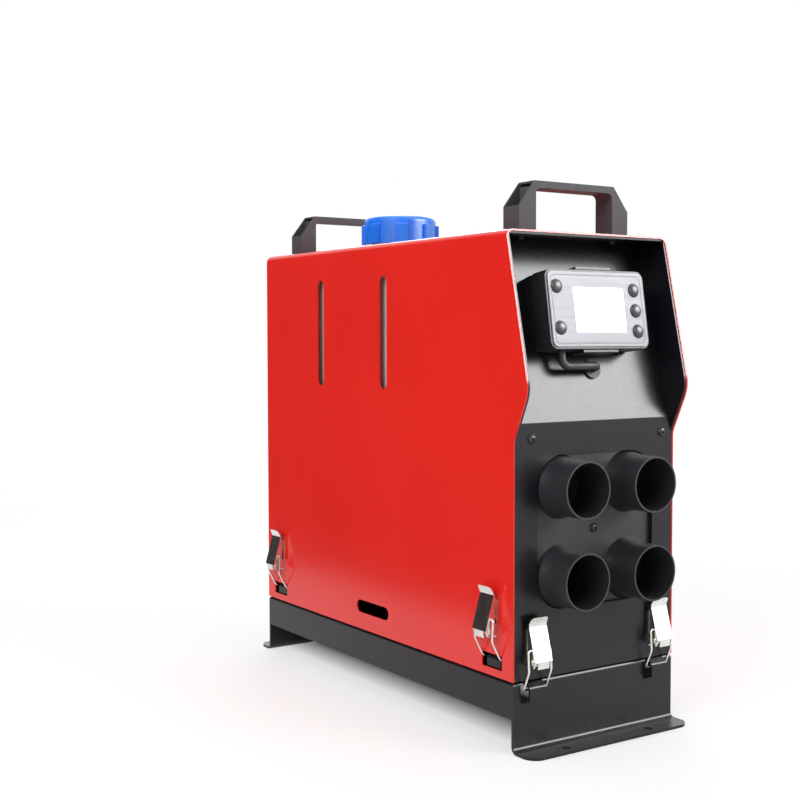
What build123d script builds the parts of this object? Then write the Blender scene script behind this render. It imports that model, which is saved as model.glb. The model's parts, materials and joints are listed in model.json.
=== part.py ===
from build123d import *
import math
import os

# Portable diesel air heater: a red folded cover over a black sheet base, with the
# burner unit on the base deck, the fuel tank on a shelf above it, four warm-air
# outlets on the front and a hand controller on the sloping fascia.
# Millimetres. The origin is on the floor, in the middle of the four foot holes.
# +Z is up, the outlets face -Y.

# ---------------------------------------------------------------- casing sizes
body_width = 147.0            # across the cover
body_length = 348.0           # front panel to rear panel
cover_top = 350.0             # floor to the top of the cover
deck_top = 48.0               # floor to the base deck
seam_gap = 0.5                # cover and panels stand this far above the deck
cover_sheet = 1.2
cover_bend = 6.0
panel_sheet = 1.5
panel_bend = 2.5
panel_clearance = 0.2         # panels inside the cover
base_sheet = 2.0
base_bend = 3.0
base_inset = 0.3              # base is this much narrower than the cover, each side
skirt_bottom = 23.0
foot_reach = 20.0
foot_corner = 10.0
foot_hole_radius = 3.0
foot_hole_spacing = 76.0      # across
foot_hole_reach = 13.0        # hole centre to the end wall

# the cover's front edge: leans out over the fascia, then returns to the front
visor_setback = 9.0           # front edge at the cover's top, behind the front
visor_reach = 15.0            # how far the visor's corner stands before the front
visor_corner_height = 243.0
visor_foot_height = 210.0
visor_round = 25.0

# fascia
bend_height = 221.0           # where the front panel bends back
fascia_setback = 40.0         # how far the fascia has gone back at the cover's top
fascia_slope = math.atan2(fascia_setback, cover_top - bend_height)
visor_inset = 0.4             # black lining inside the cover's front edge

# slots and holes in the cover's sides
slot_width = 10.0
slot_length = 86.0
slot_middle_height = 282.0
slot_front_y = -15.0
slot_rear_y = 79.5
oval_length = 46.0
oval_width = 10.0
oval_height = 66.5
oval_y = 1.0

front = -body_length / 2
rear = body_length / 2
half_width = body_width / 2
cover_bottom = deck_top + seam_gap
inner_half_width = half_width - cover_sheet
panel_half_width = inner_half_width - panel_clearance
under_cover = cover_top - cover_sheet

# ---------------------------------------------------------------- latch sizes
latch_front_x = 56.0
latch_side_y = 151.0
latch_front_height = 62.0     # lever pivot above the floor, front pair
latch_side_height = 81.0      # lever pivot above the floor, side pairs
lever_width = 15.0
lever_sheet = 1.0
lever_foot = (0.3, 11.1)      # lower corner of the lever's face: up, outwards
lever_crest = (24.6, 4.2)     # upper end of the face
lever_lip = (29.8, 7.2)       # tip of the thumb lip
lever_heel = (-4.4, 10.6)     # end of the narrow tab under the face
heel_tab_width = 9.6
heel_bend = 1.2
lip_bend = 4.0
lip_corner = 3.0
# side flanges of the lever, round from the heel: up, outwards
flange_tip = (-4.9, 7.6)
flange_heel = (-3.4, 9.6)
flange_face_foot = (0.3, 10.6)
flange_face_crest = (24.0, 3.9)
flange_top = (24.0, 2.8)
flange_waist = (13.0, 3.1)
flange_belly = (3.0, 3.2)
flange_return = (-2.6, 4.6)
pivot_reach = 7.5             # lever pivot outwards from the panel
pivot_radius = 1.2
pivot_head_radius = 2.0
pivot_head_height = 0.5
bail_arm = 8.0                # lever pivot to bail pivot
bail_lean = 9.0               # degrees past centre when the lever is shut
wire_radius = 0.8
wire_half_span = 9.6
wire_corner = 1.8
wire_bow = 8.0
# points that the bail's legs bow through: up, outwards
front_belly = [(-6.5, 7.2)]
side_belly = [(-6.5, 7.2), (-20.6, -0.3)]
fit_gap = 0.05                # radial gap of a pin in its hole
side_gap = 0.3                # gap between faces that slide past each other
seat_gap = 0.1                # gap under a piece that sits on another
latch_plate_sheet = 0.8
latch_plate_top = 21.0
latch_plate_foot = 5.0
ear_outer = 6.2
ear_radius = 2.1
hook_width = 15.0
window_width = 22.0
hook_sheet = 1.5
front_bar_height = 42.5       # bail's cross bar above the floor
front_bar_reach = 1.5
side_bar_height = 58.8
side_bar_reach = -5.8
window_side_bottom = 53.6
window_side_top = 63.6
hook_room = 2.6               # bar centre to the hook's inner face, outwards
hook_above = 1.3              # bar centre to the hook's crest, upwards
hook_drop = 7.5               # bar centre to the hook's tip, downwards
hook_slope = 2.4              # the hook's root stands this far above its crest
hook_root = 1.0               # and starts this deep in its wall
window_below_hook = 1.5       # hook's tip to the foot of the window in the base's front wall
stem_depth = 2.5              # side bar's centre to the face of the catch bracket behind it
catch_foot = 14.0
rivet_radius = 1.6
rivet_head_radius = 2.6
rivet_head_height = 0.9
rivet_head_chamfer = 0.6
rivet_tail = 1.2
rivet_heights = (11.0, 17.0)  # above the lever pivot

# ---------------------------------------------------------------- handle sizes
handle_width = 100.0
handle_depth = 17.5
handle_height = 35.5
handle_sheet = 1.5
handle_leg = 15.0
handle_bar = 5.0
handle_chamfer_across = 13.5
handle_chamfer_down = 17.5
handle_opening_round = 4.0
handle_front_setback = 24.0   # cover front to the handle's front plate
handle_rear_setback = 20.5    # cover rear to the handle's front plate
handle_middles = {"front": front + handle_front_setback + handle_depth / 2,
                  "rear": rear - handle_rear_setback + handle_depth / 2}

# ---------------------------------------------------------------- screws
screw_radius = 2.0
screw_head_radius = 3.0
screw_head_height = 1.8
flat_head_height = 0.9
panel_screw_x = (-58.0, 61.5)
panel_screw_height = 210.5
panel_return = 10.0           # depth of the rear panel's side flanges

# ---------------------------------------------------------------- outlet sizes
outlet_pitch = 61.3
outlet_middle_height = 146.0
outlet_radius = 19.5
outlet_root_radius = 22.0
outlet_wall = 1.2
outlet_reach = 26.0
outlet_straight = 14.0
manifold_margin = 6.0
manifold_sheet = 4.0
manifold_recess = 3.0         # the plate between the tubes stands this far behind the panel's face
manifold_fit = 0.3
manifold_depth = 44.0
chamber_inset = 1.5
duct_radius = 43.0
duct_wall = 2.0

cutout_round = outlet_root_radius + manifold_fit
cutout_side = outlet_pitch + 2 * cutout_round

# ---------------------------------------------------------------- rear intake
intake_height = 112.0         # also the burner unit's axis
intake_reach = 28.0
intake_outer_radius = 45.0
intake_wall = 2.5
intake_flange_radius = 53.0
intake_flange_sheet = 2.5
intake_stop_reach = 7.5       # a pushed-on hose stops here, before the screws
hose_stop = 0.8               # the stop's height above the collar or stub
grille_ring_width = 2.4
grille_bar_width = 2.2
grille_depth = 4.0
grille_ring_pitch = 10.0
grille_bars = 6
intake_screws = 4
intake_screw_circle = (intake_outer_radius + intake_flange_radius) / 2

# ---------------------------------------------------------------- tank and cap
tank_width = 134.0
tank_front = -125.0
tank_rear = 163.0
tank_wall = 3.0
tank_round = 12.0
tank_head_gap = 2.5           # tank roof to the cover's underside
shelf_height = 224.0          # underside of the tank shelf
shelf_sheet = 1.5
shelf_half_width = 68.0
shelf_leg_width = 28.0
shelf_leg_y = (-97.0, 108.0)
shelf_foot = 14.0
tank_seat = 0.3
neck_y = 72.0
collar_radius = 30.5
collar_top = 356.0
collar_hole_gap = 1.5
neck_radius = 24.5
neck_bore = 20.0
neck_top = 372.0
cap_radius = 30.2
cap_bore = 26.4               # leaves room for the threads
cap_rib_radius = 32.5
cap_rib_width = 9.0
cap_rib_top = 372.5
cap_ribs = 8
cap_gap = 0.4
cap_crown = 379.0
cap_crown_thickness = 4.0
cap_round = 4.5
cap_rib_round = 1.0
seal_inner = 21.0
seal_height = 2.0

# ---------------------------------------------------------------- controller
controller_width = 90.0
controller_height = 55.0
controller_up = 72.6          # middle of its front, measured up the fascia from the bend
controller_reach = 22.9       # and out from the fascia
controller_tilt = math.radians(9.0)
controller_depth = 16.5
controller_corner = 6.0
housing_back_round = 1.5
holder_inset = 1.5            # the holder's edge inside the housing's
holder_gap = 0.3
holder_seat = 2.0             # the holder's screw heads sit this far above the fascia
holder_screw_tail = 2.0
housing_wall = 2.2
face_width = 86.2
face_height = 51.6
face_sheet = 1.0
screen_left = -22.0
screen_right = 24.5
screen_low = -16.5
screen_high = 15.5
screen_corner = 1.5
screen_gap = 0.2
button_radius = 4.6
button_gap = 0.3
button_travel = 0.8
button_proud = 1.7
button_flange = 0.9
button_flange_sheet = 0.8
button_stem = 3.0
board_drop = 6.0              # controller board below the housing's front
board_sheet = 1.6
board_margin = 1.0
board_pillar_inset = 8.0      # board pillars from the housing's edges
snap_width = 32.0
snap_sheet = 1.8
snap_foot = 1.5
snap_short = 1.0              # the snap tabs end this far behind the housing's front
lead_radius = 2.8
lead_drop = 9.0               # where the lead leaves the housing, behind its front
lead_start_x = -29.0
lead_out = 8.5                # and this far out from the fascia
lead_bend = 5.0
grommet_radius = 5.5
grommet_sheet = 1.6
grommet_rim = 1.6
# places on the fascia: across, and up the slope from the bend
holder_screw_x = (-30.0, 30.0)
lead_hole = (4.0, 36.5)
# places on the controller's front, from its middle
button_places = {"power_button": (-36.4, 15.4), "menu_button": (-36.0, -13.0), "up_button": (33.8, 13.6),
                 "ok_button": (34.0, -0.9), "down_button": (34.3, -15.4)}

# ---------------------------------------------------------------- burner unit
shell_width = 114.0
shell_bottom = 51.0
shell_top = 173.0
shell_front = -95.0
shell_rear = 150.0
shell_wall = 2.5
shell_corner = 30.0
nozzle_reach = 12.0
nozzle_radius = 40.0
exchanger_front = -84.0
exchanger_rear = 46.0
exchanger_radius = 31.0
exchanger_wall = 3.5
fin_radius = 49.0
fin_thickness = 2.5
fin_count = 14
burner_radius = 21.0
burner_wall = 1.5
burner_front = -60.0
flange_radius = 38.0
flange_sheet = 5.0
chamber_length = 14.0
impeller_radius = 27.0
impeller_blades = 12
motor_radius = 21.0
motor_length = 38.0
shaft_radius = 2.5
wheel_radius = 46.0
wheel_length = 22.0
wheel_blades = 18
blade_thickness = 1.6
blade_middle = 0.68           # of its wheel's radius
blade_length = 0.5
blade_turn = 28.0
rotor_gap = 0.6
gasket_sheet = 2.5
gasket_width = 76.0
gasket_length = 104.0
pedestal_y = -35.0
stud_spacing_x = 54.0
stud_spacing_y = 82.0
stud_radius = 3.0
nut_height = 5.0
stud_depth = 12.0
nut_across = 10.0
exhaust_radius = 12.0
breather_radius = 12.5
stub_wall = 1.5
stub_y = 26.0                 # each stub's distance from the pedestal's middle
stub_bottom = 16.0
stub_stop = 44.0              # a pushed-on pipe stops here, just below the base deck
stub_hole_gap = 1.0
pedestal_inset = 10.0         # the pedestal's foot inside the gasket, both sides together
pedestal_corner = 8.0
plug_across = 8.0
plug_height = 9.0
plug_pin_radius = 2.6
plug_pin_height = 12.0
plug_from_rear = 20.0
sensor_width = 9.0
sensor_length = 22.0
sensor_corner = 3.0
sensor_height = 6.0
sensor_from_front = 22.0

# ---------------------------------------------------------------- fuel and wiring
pump_x = 42.0
pump_below_shelf = 25.0
pump_height = shelf_height - pump_below_shelf
pump_radius = 14.0
pump_rear = 44.0
pump_length = 88.0
pump_neck_radius = 9.0
pump_neck_length = 20.0
nipple_radius = 2.4
nipple_length = 9.0
hose_radius = 4.2
clamp_width = 16.0
clamp_thickness = 3.0
pump_clamp_y = pump_rear - pump_length / 2
pump_hanger = pump_height + pump_radius + clamp_thickness
filter_radius = 9.5
filter_front = 64.0
filter_length = 36.0
tank_outlet_y = 128.0
fuel_inlet_y = -72.0
hose_bend_share = 0.5         # a hose's bend takes this much of its drop
control_width = 62.0
control_length = 96.0
control_height = 18.0
control_x = -18.0
control_y = 20.0
gland_x = -50.0
gland_height = 196.0
gland_radius = 8.0
gland_bore = 4.0
gland_reach = 12.0

os.makedirs("parts", exist_ok=True)


def save(piece, name):
    piece.part.label = name
    export_step(piece.part, f"parts/{name}.step")


# ---------------------------------------------------------------- shared planes
def facing_rear(y):
    """Plane facing +Y, with its own Y up; its own X runs towards -X."""
    return Plane(origin=(0, y, 0), x_dir=(-1, 0, 0), z_dir=(0, 1, 0))


def fascia_plane(height):
    """Plane on the sloping fascia, this high above its face; its own Y runs up the slope."""
    normal = Vector(0, -math.cos(fascia_slope), math.sin(fascia_slope))
    return Plane(origin=Vector(0, front, bend_height) + normal * height, x_dir=(1, 0, 0), z_dir=normal)


def controller_plane(height):
    """Plane parallel to the controller's front, this high above it; the origin is the front's middle."""
    middle = fascia_plane(controller_reach).from_local_coords(Vector(0, controller_up, 0))
    normal = Vector(0, -math.cos(controller_tilt), math.sin(controller_tilt))
    return Plane(origin=middle + normal * height, x_dir=(1, 0, 0), z_dir=normal)


controller_axis = Axis(controller_plane(0).origin, controller_plane(0).z_dir)


# ---------------------------------------------------------------- latches
# A latch is drawn flat: X across it, Y up the panel, Z outwards, its lever pivot
# over the origin. These planes stand it on the casing.
def latch_plane(origin, outwards):
    return Plane(origin=origin, x_dir=Vector(0, 0, 1).cross(Vector(outwards)), z_dir=outwards)


front_latches = {
    "front_left": latch_plane((-latch_front_x, front, latch_front_height), (0, -1, 0)),
    "front_right": latch_plane((latch_front_x, front, latch_front_height), (0, -1, 0)),
}
side_latches = {
    "left_front": latch_plane((-half_width, -latch_side_y, latch_side_height), (-1, 0, 0)),
    "left_rear": latch_plane((-half_width, latch_side_y, latch_side_height), (-1, 0, 0)),
    "right_front": latch_plane((half_width, -latch_side_y, latch_side_height), (1, 0, 0)),
    "right_rear": latch_plane((half_width, latch_side_y, latch_side_height), (1, 0, 0)),
}
all_latches = {**front_latches, **side_latches}

lean = math.radians(bail_lean)
bail_pivot = (bail_arm * math.cos(lean), pivot_reach - bail_arm * math.sin(lean))
front_bar = (front_bar_height - latch_front_height, front_bar_reach)
side_bar = (side_bar_height - latch_side_height, side_bar_reach)


def stand(shape, planes):
    """Copies of a latch piece on the given planes."""
    with BuildPart() as placed:
        with Locations(*planes):
            add(shape)
    return placed


def make_lever():
    """Folded lever: face and thumb lip, a narrow heel tab, and a flange down each side."""
    flange_outline = [flange_tip, flange_heel, flange_face_foot, flange_face_crest, flange_top, flange_waist,
                      flange_belly, flange_return]
    shoulder = (lever_width - heel_tab_width) / 2
    with BuildPart() as lever:
        with BuildSketch(Plane.YZ):
            with BuildLine():
                FilletPolyline(lever_heel, lever_foot, lever_crest, lever_lip, radius=[heel_bend, lip_bend])
                offset(amount=lever_sheet, side=Side.RIGHT)
            make_face()
        extrude(amount=lever_width / 2, both=True)
        with BuildSketch(Plane.XY):
            with Locations(*[(side * (lever_width - shoulder) / 2, lever_foot[0] + lever_heel[0])
                             for side in (-1, 1)]):
                Rectangle(shoulder, -2 * lever_heel[0])
        extrude(amount=2 * pivot_reach, mode=Mode.SUBTRACT)
        for side in (-1, 1):
            with BuildSketch(Plane.YZ.offset(side * (lever_width - lever_sheet) / 2)):
                with BuildLine():
                    Polyline(*flange_outline, close=True)
                make_face()
            extrude(amount=lever_sheet / 2, both=True)
        with BuildSketch(Plane.YZ):
            with Locations((0, pivot_reach)):
                Circle(pivot_radius + fit_gap)
            with Locations(bail_pivot):
                Circle(wire_radius + fit_gap)
        extrude(amount=lever_width, both=True, mode=Mode.SUBTRACT)
        footprint = lever_lip[0] - 2 * lever_heel[0] + lip_corner
        with BuildSketch(Plane.XY):
            with Locations((0, lever_lip[0] - footprint / 2)):
                RectangleRounded(lever_width, footprint, lip_corner)
        extrude(amount=2 * pivot_reach, mode=Mode.INTERSECT)
    return lever.part


def make_bail(bar, belly):
    """Wire bail: pins in the lever, two bowed legs and the cross bar that the catch holds."""
    pin_end = lever_width / 2 - lever_sheet - side_gap
    leg = [(wire_half_span, *point) for point in (bail_pivot, *belly, bar)]
    half = [(pin_end, *bail_pivot), *leg]
    other = [(-x, y, z) for x, y, z in reversed(half)]
    radii = [wire_corner, *[wire_bow] * len(belly), wire_corner]
    with BuildPart() as bail:
        with BuildLine() as path:
            FilletPolyline(*half, *other, radius=[*radii, *reversed(radii)])
        wire = path.wires()[0]
        with BuildSketch(Plane(origin=wire @ 0, z_dir=wire % 0)):
            Circle(wire_radius)
        sweep()
    return bail.part


def make_latch_plate():
    """Riveted plate with two ears that carry the lever's pivot pin."""
    plate_height = latch_plate_top + latch_plate_foot
    with BuildPart() as plate:
        with BuildSketch(Plane.XY):
            with Locations((0, (latch_plate_top - latch_plate_foot) / 2)):
                RectangleRounded(2 * ear_outer, plate_height, 1.5)
            with Locations(*[(0, height) for height in rivet_heights]):
                Circle(rivet_radius + fit_gap, mode=Mode.SUBTRACT)
        extrude(amount=latch_plate_sheet)
        for side in (-1, 1):
            with BuildSketch(Plane.YZ.offset(side * (ear_outer - lever_sheet / 2))):
                with BuildLine():
                    Polyline((-latch_plate_foot + 1, 0), (ear_radius * 2, 0),
                             (ear_radius * 2, latch_plate_sheet),
                             (ear_radius, pivot_reach))
                    ThreePointArc((ear_radius, pivot_reach), (0, pivot_reach + ear_radius),
                                  (-ear_radius, pivot_reach))
                    Polyline((-ear_radius, pivot_reach), (-latch_plate_foot + 1, latch_plate_sheet),
                             (-latch_plate_foot + 1, 0))
                make_face()
                with Locations((0, pivot_reach)):
                    Circle(pivot_radius + fit_gap, mode=Mode.SUBTRACT)
            extrude(amount=lever_sheet / 2, both=True)
    return plate.part


def make_latch_pin():
    head_start = lever_width / 2 + side_gap / 2
    with BuildPart() as pin:
        with BuildSketch(Plane.YZ):
            with Locations((0, pivot_reach)):
                Circle(pivot_radius)
        extrude(amount=head_start, both=True)
        for side in (-1, 1):
            with BuildSketch(Plane.YZ.offset(side * head_start)):
                with Locations((0, pivot_reach)):
                    Circle(pivot_head_radius)
            extrude(amount=side * pivot_head_height)
    return pin.part


def make_rivet():
    """Dome rivet through the latch plate and the casing's sheet."""
    tail = cover_sheet + rivet_tail
    with BuildPart() as rivet:
        with BuildSketch(Plane.XY.offset(-tail)):
            Circle(rivet_radius)
        extrude(amount=tail + latch_plate_sheet)
        with BuildSketch(Plane.XY.offset(latch_plate_sheet)):
            Circle(rivet_head_radius)
        extrude(amount=rivet_head_height)
        chamfer(rivet.edges().sort_by(Axis.Z)[-1], rivet_head_chamfer)
    return rivet.part


def hook_strip(bar, wall_reach):
    """Side profile of a catch: out from its wall, over the bar and down before it."""
    up, reach = bar
    inner = reach + hook_room
    points = [(up + hook_above + hook_slope, wall_reach - hook_root), (up + hook_above, inner),
              (up - hook_drop, inner)]
    with BuildSketch() as strip:
        with BuildLine():
            FilletPolyline(*points, radius=1.0)
            offset(amount=hook_sheet, side=Side.RIGHT)
        make_face()
    return strip.sketch


def build_latches():
    lever = make_lever()
    plate = make_latch_plate()
    front_bail = make_bail(front_bar, front_belly)
    side_bail = make_bail(side_bar, side_belly)
    for name, plane in all_latches.items():
        save(stand(lever, [plane]), f"latch_lever_{name}")
        save(stand(front_bail if name in front_latches else side_bail, [plane]), f"latch_bail_{name}")
    save(stand(plate, all_latches.values()), "latch_plates")
    pin = make_latch_pin()
    rivet = make_rivet()
    rivet_seats = [plane * Pos(0, height, 0) for plane in all_latches.values() for height in rivet_heights]
    with BuildPart() as rivets:
        with Locations(*all_latches.values()):
            add(pin)
        with Locations(*rivet_seats):
            add(rivet)
    save(rivets, "latch_pins_and_rivets")


# ---------------------------------------------------------------- base tray
def build_base_tray():
    base_half = half_width - base_inset
    front_hook = hook_strip(front_bar, 0)
    window_foot = front_bar[0] - hook_drop - window_below_hook
    window_head = front_bar[0] + hook_above + hook_slope
    with BuildPart() as base_tray:
        with BuildSketch(Plane.YZ):
            with BuildLine():
                FilletPolyline((front - foot_reach, base_sheet), (front, base_sheet), (front, deck_top),
                               (rear, deck_top), (rear, base_sheet), (rear + foot_reach, base_sheet),
                               radius=base_bend)
                offset(amount=base_sheet, side=Side.RIGHT)
            make_face()
        extrude(amount=base_half, both=True)
        foot_tip = rear + foot_reach - 1
        fillet(base_tray.edges().filter_by(Axis.Z).filter_by(lambda edge: abs(edge.center().Y) > foot_tip),
               foot_corner)
        for side in (-1, 1):
            with BuildSketch(Plane.YZ.offset(side * base_half)):
                with Locations((0, (skirt_bottom + deck_top - base_sheet / 2) / 2)):
                    Rectangle(body_length - 2 * base_sheet, deck_top - base_sheet / 2 - skirt_bottom)
            extrude(amount=-side * base_sheet)
        with BuildSketch(Plane.XZ.offset(-rear - foot_reach)):
            with BuildLine():
                arch = FilletPolyline((-base_half, 0), (-base_half, deck_top), (base_half, deck_top),
                                      (base_half, 0), radius=base_bend - base_sheet / 2)
                Line(arch @ 1, arch @ 0)
            make_face()
        extrude(amount=body_length + 2 * foot_reach, mode=Mode.INTERSECT)
        with BuildSketch(Plane.XY):
            with GridLocations(foot_hole_spacing, body_length + 2 * foot_hole_reach, 2, 2):
                Circle(foot_hole_radius)
        extrude(amount=base_sheet, mode=Mode.SUBTRACT)
        for plane in front_latches.values():
            with BuildSketch(plane):
                with Locations((0, (window_head + window_foot) / 2)):
                    Rectangle(window_width, window_head - window_foot)
            extrude(amount=-base_sheet, mode=Mode.SUBTRACT)
            tongue = Plane(origin=plane.origin, x_dir=plane.y_dir, z_dir=plane.x_dir)
            with BuildSketch(tongue):
                add(front_hook)
            extrude(amount=hook_width / 2, both=True)
        with BuildSketch(Plane.XY.offset(deck_top)):
            with Locations((0, pedestal_y + stub_y)):
                Circle(exhaust_radius + hose_stop + stub_hole_gap)
            with Locations((0, pedestal_y - stub_y)):
                Circle(breather_radius + hose_stop + stub_hole_gap)
            with Locations((0, pedestal_y)):
                with GridLocations(stud_spacing_x, stud_spacing_y, 2, 2):
                    Circle(stud_radius + fit_gap)
        extrude(amount=-base_sheet, mode=Mode.SUBTRACT)
    save(base_tray, "base_tray")


# ---------------------------------------------------------------- red cover and panels
def front_edge_points():
    """The cover's front edge seen from the side, from its foot to its top."""
    return [(front, cover_bottom), (front, visor_foot_height),
            (front - visor_reach, visor_corner_height), (front + visor_setback, cover_top)]


def build_red_cover():
    edge = front_edge_points()
    latch_window_height = window_side_top - window_side_bottom
    with BuildPart() as red_cover:
        with BuildSketch(Plane.XZ.offset(-rear)):
            with BuildLine():
                FilletPolyline((-half_width, cover_bottom), (-half_width, cover_top), (half_width, cover_top),
                               (half_width, cover_bottom), radius=cover_bend)
                offset(amount=cover_sheet, side=Side.RIGHT)
            make_face()
        extrude(amount=body_length + visor_reach)
        with BuildSketch(Plane.YZ):
            with BuildLine():
                outline = FilletPolyline(*edge, radius=[visor_round / 2, visor_round])
                Polyline(outline @ 1, (rear, cover_top), (rear, cover_bottom), outline @ 0)
            make_face()
        extrude(amount=half_width, both=True, mode=Mode.INTERSECT)
        with BuildSketch(Plane.YZ):
            with Locations((slot_front_y, slot_middle_height), (slot_rear_y, slot_middle_height)):
                SlotOverall(slot_length, slot_width, rotation=90)
            with Locations((oval_y, oval_height)):
                SlotOverall(oval_length, oval_width)
            with Locations(*[(y, window_side_bottom + latch_window_height / 2)
                             for y in (-latch_side_y, latch_side_y)]):
                Rectangle(window_width, latch_window_height)
        extrude(amount=half_width, both=True, mode=Mode.SUBTRACT)
        with BuildSketch(Plane.XY.offset(cover_top)):
            with Locations((0, neck_y)):
                Circle(collar_radius + collar_hole_gap)
            with Locations(*handle_screw_places()):
                Circle(screw_radius + fit_gap)
        extrude(amount=-cover_sheet, mode=Mode.SUBTRACT)
        with BuildSketch(Plane.YZ):
            with Locations(*[(plane.origin.Y, plane.origin.Z + height)
                             for plane in side_latches.values() for height in rivet_heights]):
                Circle(rivet_radius + fit_gap)
        extrude(amount=half_width, both=True, mode=Mode.SUBTRACT)
    save(red_cover, "red_cover")


def build_front_panel():
    """Black panel: a flat lower half, the fascia bent back above it and the visor's lining."""
    lining_top = under_cover - panel_clearance
    fascia_back = front + (lining_top - bend_height) * math.tan(fascia_slope)
    lining_front = front + visor_setback + visor_inset
    visor = [(front + visor_inset, visor_foot_height), (front - visor_reach + visor_inset, visor_corner_height),
             (lining_front, lining_top)]
    with BuildPart() as front_panel:
        with BuildSketch(Plane.YZ):
            with BuildLine():
                FilletPolyline((front, cover_bottom), (front, bend_height), (fascia_back, lining_top),
                               radius=panel_bend)
                offset(amount=panel_sheet, side=Side.RIGHT)
            make_face()
        extrude(amount=panel_half_width, both=True)
        for side in (-1, 1):
            with BuildSketch(Plane.YZ.offset(side * panel_half_width)):
                with BuildLine():
                    edge = FilletPolyline(*visor, radius=visor_round - visor_inset)
                    Polyline(edge @ 1, (fascia_back + panel_sheet, lining_top),
                             (front + panel_sheet, bend_height), edge @ 0)
                make_face()
            extrude(amount=-side * panel_sheet)
        with BuildSketch(Plane.XY.offset(lining_top)):
            with Locations((0, (lining_front + fascia_back) / 2)):
                Rectangle(2 * panel_half_width, fascia_back - lining_front)
        extrude(amount=-panel_sheet)
        with BuildSketch(Plane.XZ.offset(-front - 2 * fascia_setback)):
            with BuildLine():
                arch = FilletPolyline((-panel_half_width, cover_bottom), (-panel_half_width, lining_top),
                                      (panel_half_width, lining_top), (panel_half_width, cover_bottom),
                                      radius=cover_bend - cover_sheet)
                Line(arch @ 1, arch @ 0)
            make_face()
        extrude(amount=3 * fascia_setback, mode=Mode.INTERSECT)
        with BuildSketch(facing_rear(front)):
            with Locations((0, outlet_middle_height)):
                RectangleRounded(cutout_side, cutout_side, cutout_round)
            with Locations(*[(-x, panel_screw_height) for x in panel_screw_x]):
                Circle(screw_radius + fit_gap)
            with Locations(*[(-plane.origin.X, plane.origin.Z + height)
                             for plane in front_latches.values() for height in rivet_heights]):
                Circle(rivet_radius + fit_gap)
        extrude(amount=panel_sheet * 2, mode=Mode.SUBTRACT)
        with BuildSketch(Plane.XY.offset(lining_top)):
            with Locations(*[place for place in handle_screw_places() if place[1] < 0]):
                Circle(screw_radius + fit_gap)
        extrude(amount=-panel_sheet, mode=Mode.SUBTRACT)
        with BuildSketch(fascia_plane(panel_sheet)):
            with Locations(lead_hole):
                Circle(grommet_radius)
            with Locations(*[(x, controller_up) for x in holder_screw_x]):
                Circle(screw_radius + fit_gap)
        extrude(amount=-4 * panel_sheet, mode=Mode.SUBTRACT)
    save(front_panel, "front_panel")


def build_rear_panel():
    panel_height = under_cover - panel_clearance - cover_bottom
    with BuildPart() as rear_panel:
        with BuildSketch(facing_rear(rear - panel_sheet)):
            with Locations((0, cover_bottom + panel_height / 2)):
                Rectangle(2 * panel_half_width, panel_height)
            fillet(vertices().group_by(Axis.Y)[-1], cover_bend - cover_sheet)
            with Locations((0, intake_height)):
                Circle(intake_outer_radius - intake_wall, mode=Mode.SUBTRACT)
                with PolarLocations(intake_screw_circle, intake_screws, start_angle=45):
                    Circle(screw_radius + fit_gap, mode=Mode.SUBTRACT)
            with Locations((-gland_x, gland_height)):
                Circle(gland_radius, mode=Mode.SUBTRACT)
        extrude(amount=panel_sheet)
        for side in (-1, 1):
            with BuildSketch(Plane.YZ.offset(side * panel_half_width)):
                with Locations((rear - panel_sheet - panel_return / 2, cover_bottom + panel_height / 2)):
                    Rectangle(panel_return, panel_height - 2 * panel_return)
            extrude(amount=-side * panel_sheet)
    save(rear_panel, "rear_panel")


# ---------------------------------------------------------------- handles
def handle_screw_places():
    across_leg = handle_width / 2 - handle_leg / 2
    return [(side * across_leg, middle) for middle in handle_middles.values() for side in (-1, 1)]


def build_handle(name, middle):
    """Folded handle: two plates joined along the grip, the legs and the feet."""
    half = handle_width / 2
    grip_half = half - handle_leg
    shoulder = handle_height - handle_chamfer_down
    opening_height = handle_height - handle_bar
    outer = [(-half, 0), (-half, shoulder), (-half + handle_chamfer_across, handle_height),
             (half - handle_chamfer_across, handle_height), (half, shoulder), (half, 0)]
    plane = Plane(origin=(0, middle - handle_depth / 2, cover_top), x_dir=(-1, 0, 0), z_dir=(0, 1, 0))
    inner_depth = handle_depth - 2 * handle_sheet
    with BuildPart() as handle:
        with BuildSketch(plane):
            with BuildLine():
                Polyline(*outer, close=True)
            make_face()
            with Locations((0, opening_height / 2)):
                Rectangle(2 * grip_half, opening_height, mode=Mode.SUBTRACT)
            fillet(vertices().filter_by(lambda v: abs(v.Z - cover_top - opening_height) < 0.1
                                        or abs(v.Y - opening_height) < 0.1), handle_opening_round)
        extrude(amount=handle_depth)
        with BuildSketch(plane.offset(handle_sheet)):
            with BuildLine():
                hollow = [(-half + handle_sheet, handle_sheet), (-half + handle_sheet, shoulder),
                          (-half, shoulder), (-half, handle_height + 1),
                          (-half + handle_chamfer_across, handle_height + 1),
                          (-half + handle_chamfer_across, handle_height - handle_sheet),
                          (half - handle_chamfer_across, handle_height - handle_sheet),
                          (half - handle_chamfer_across, handle_height + 1), (half, handle_height + 1),
                          (half, shoulder), (half - handle_sheet, shoulder),
                          (half - handle_sheet, handle_sheet)]
                Polyline(*hollow, close=True)
            make_face()
            with Locations((0, (opening_height + handle_sheet) / 2)):
                Rectangle(2 * (grip_half + handle_sheet), opening_height + handle_sheet, mode=Mode.SUBTRACT)
        extrude(amount=inner_depth, mode=Mode.SUBTRACT)
        with BuildSketch(Plane.XY.offset(cover_top)):
            with Locations(*[(x, y) for x, y in handle_screw_places() if abs(y - middle) < handle_depth]):
                Circle(screw_radius - fit_gap)
        extrude(amount=handle_sheet, mode=Mode.SUBTRACT)
    save(handle, name)


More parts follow.
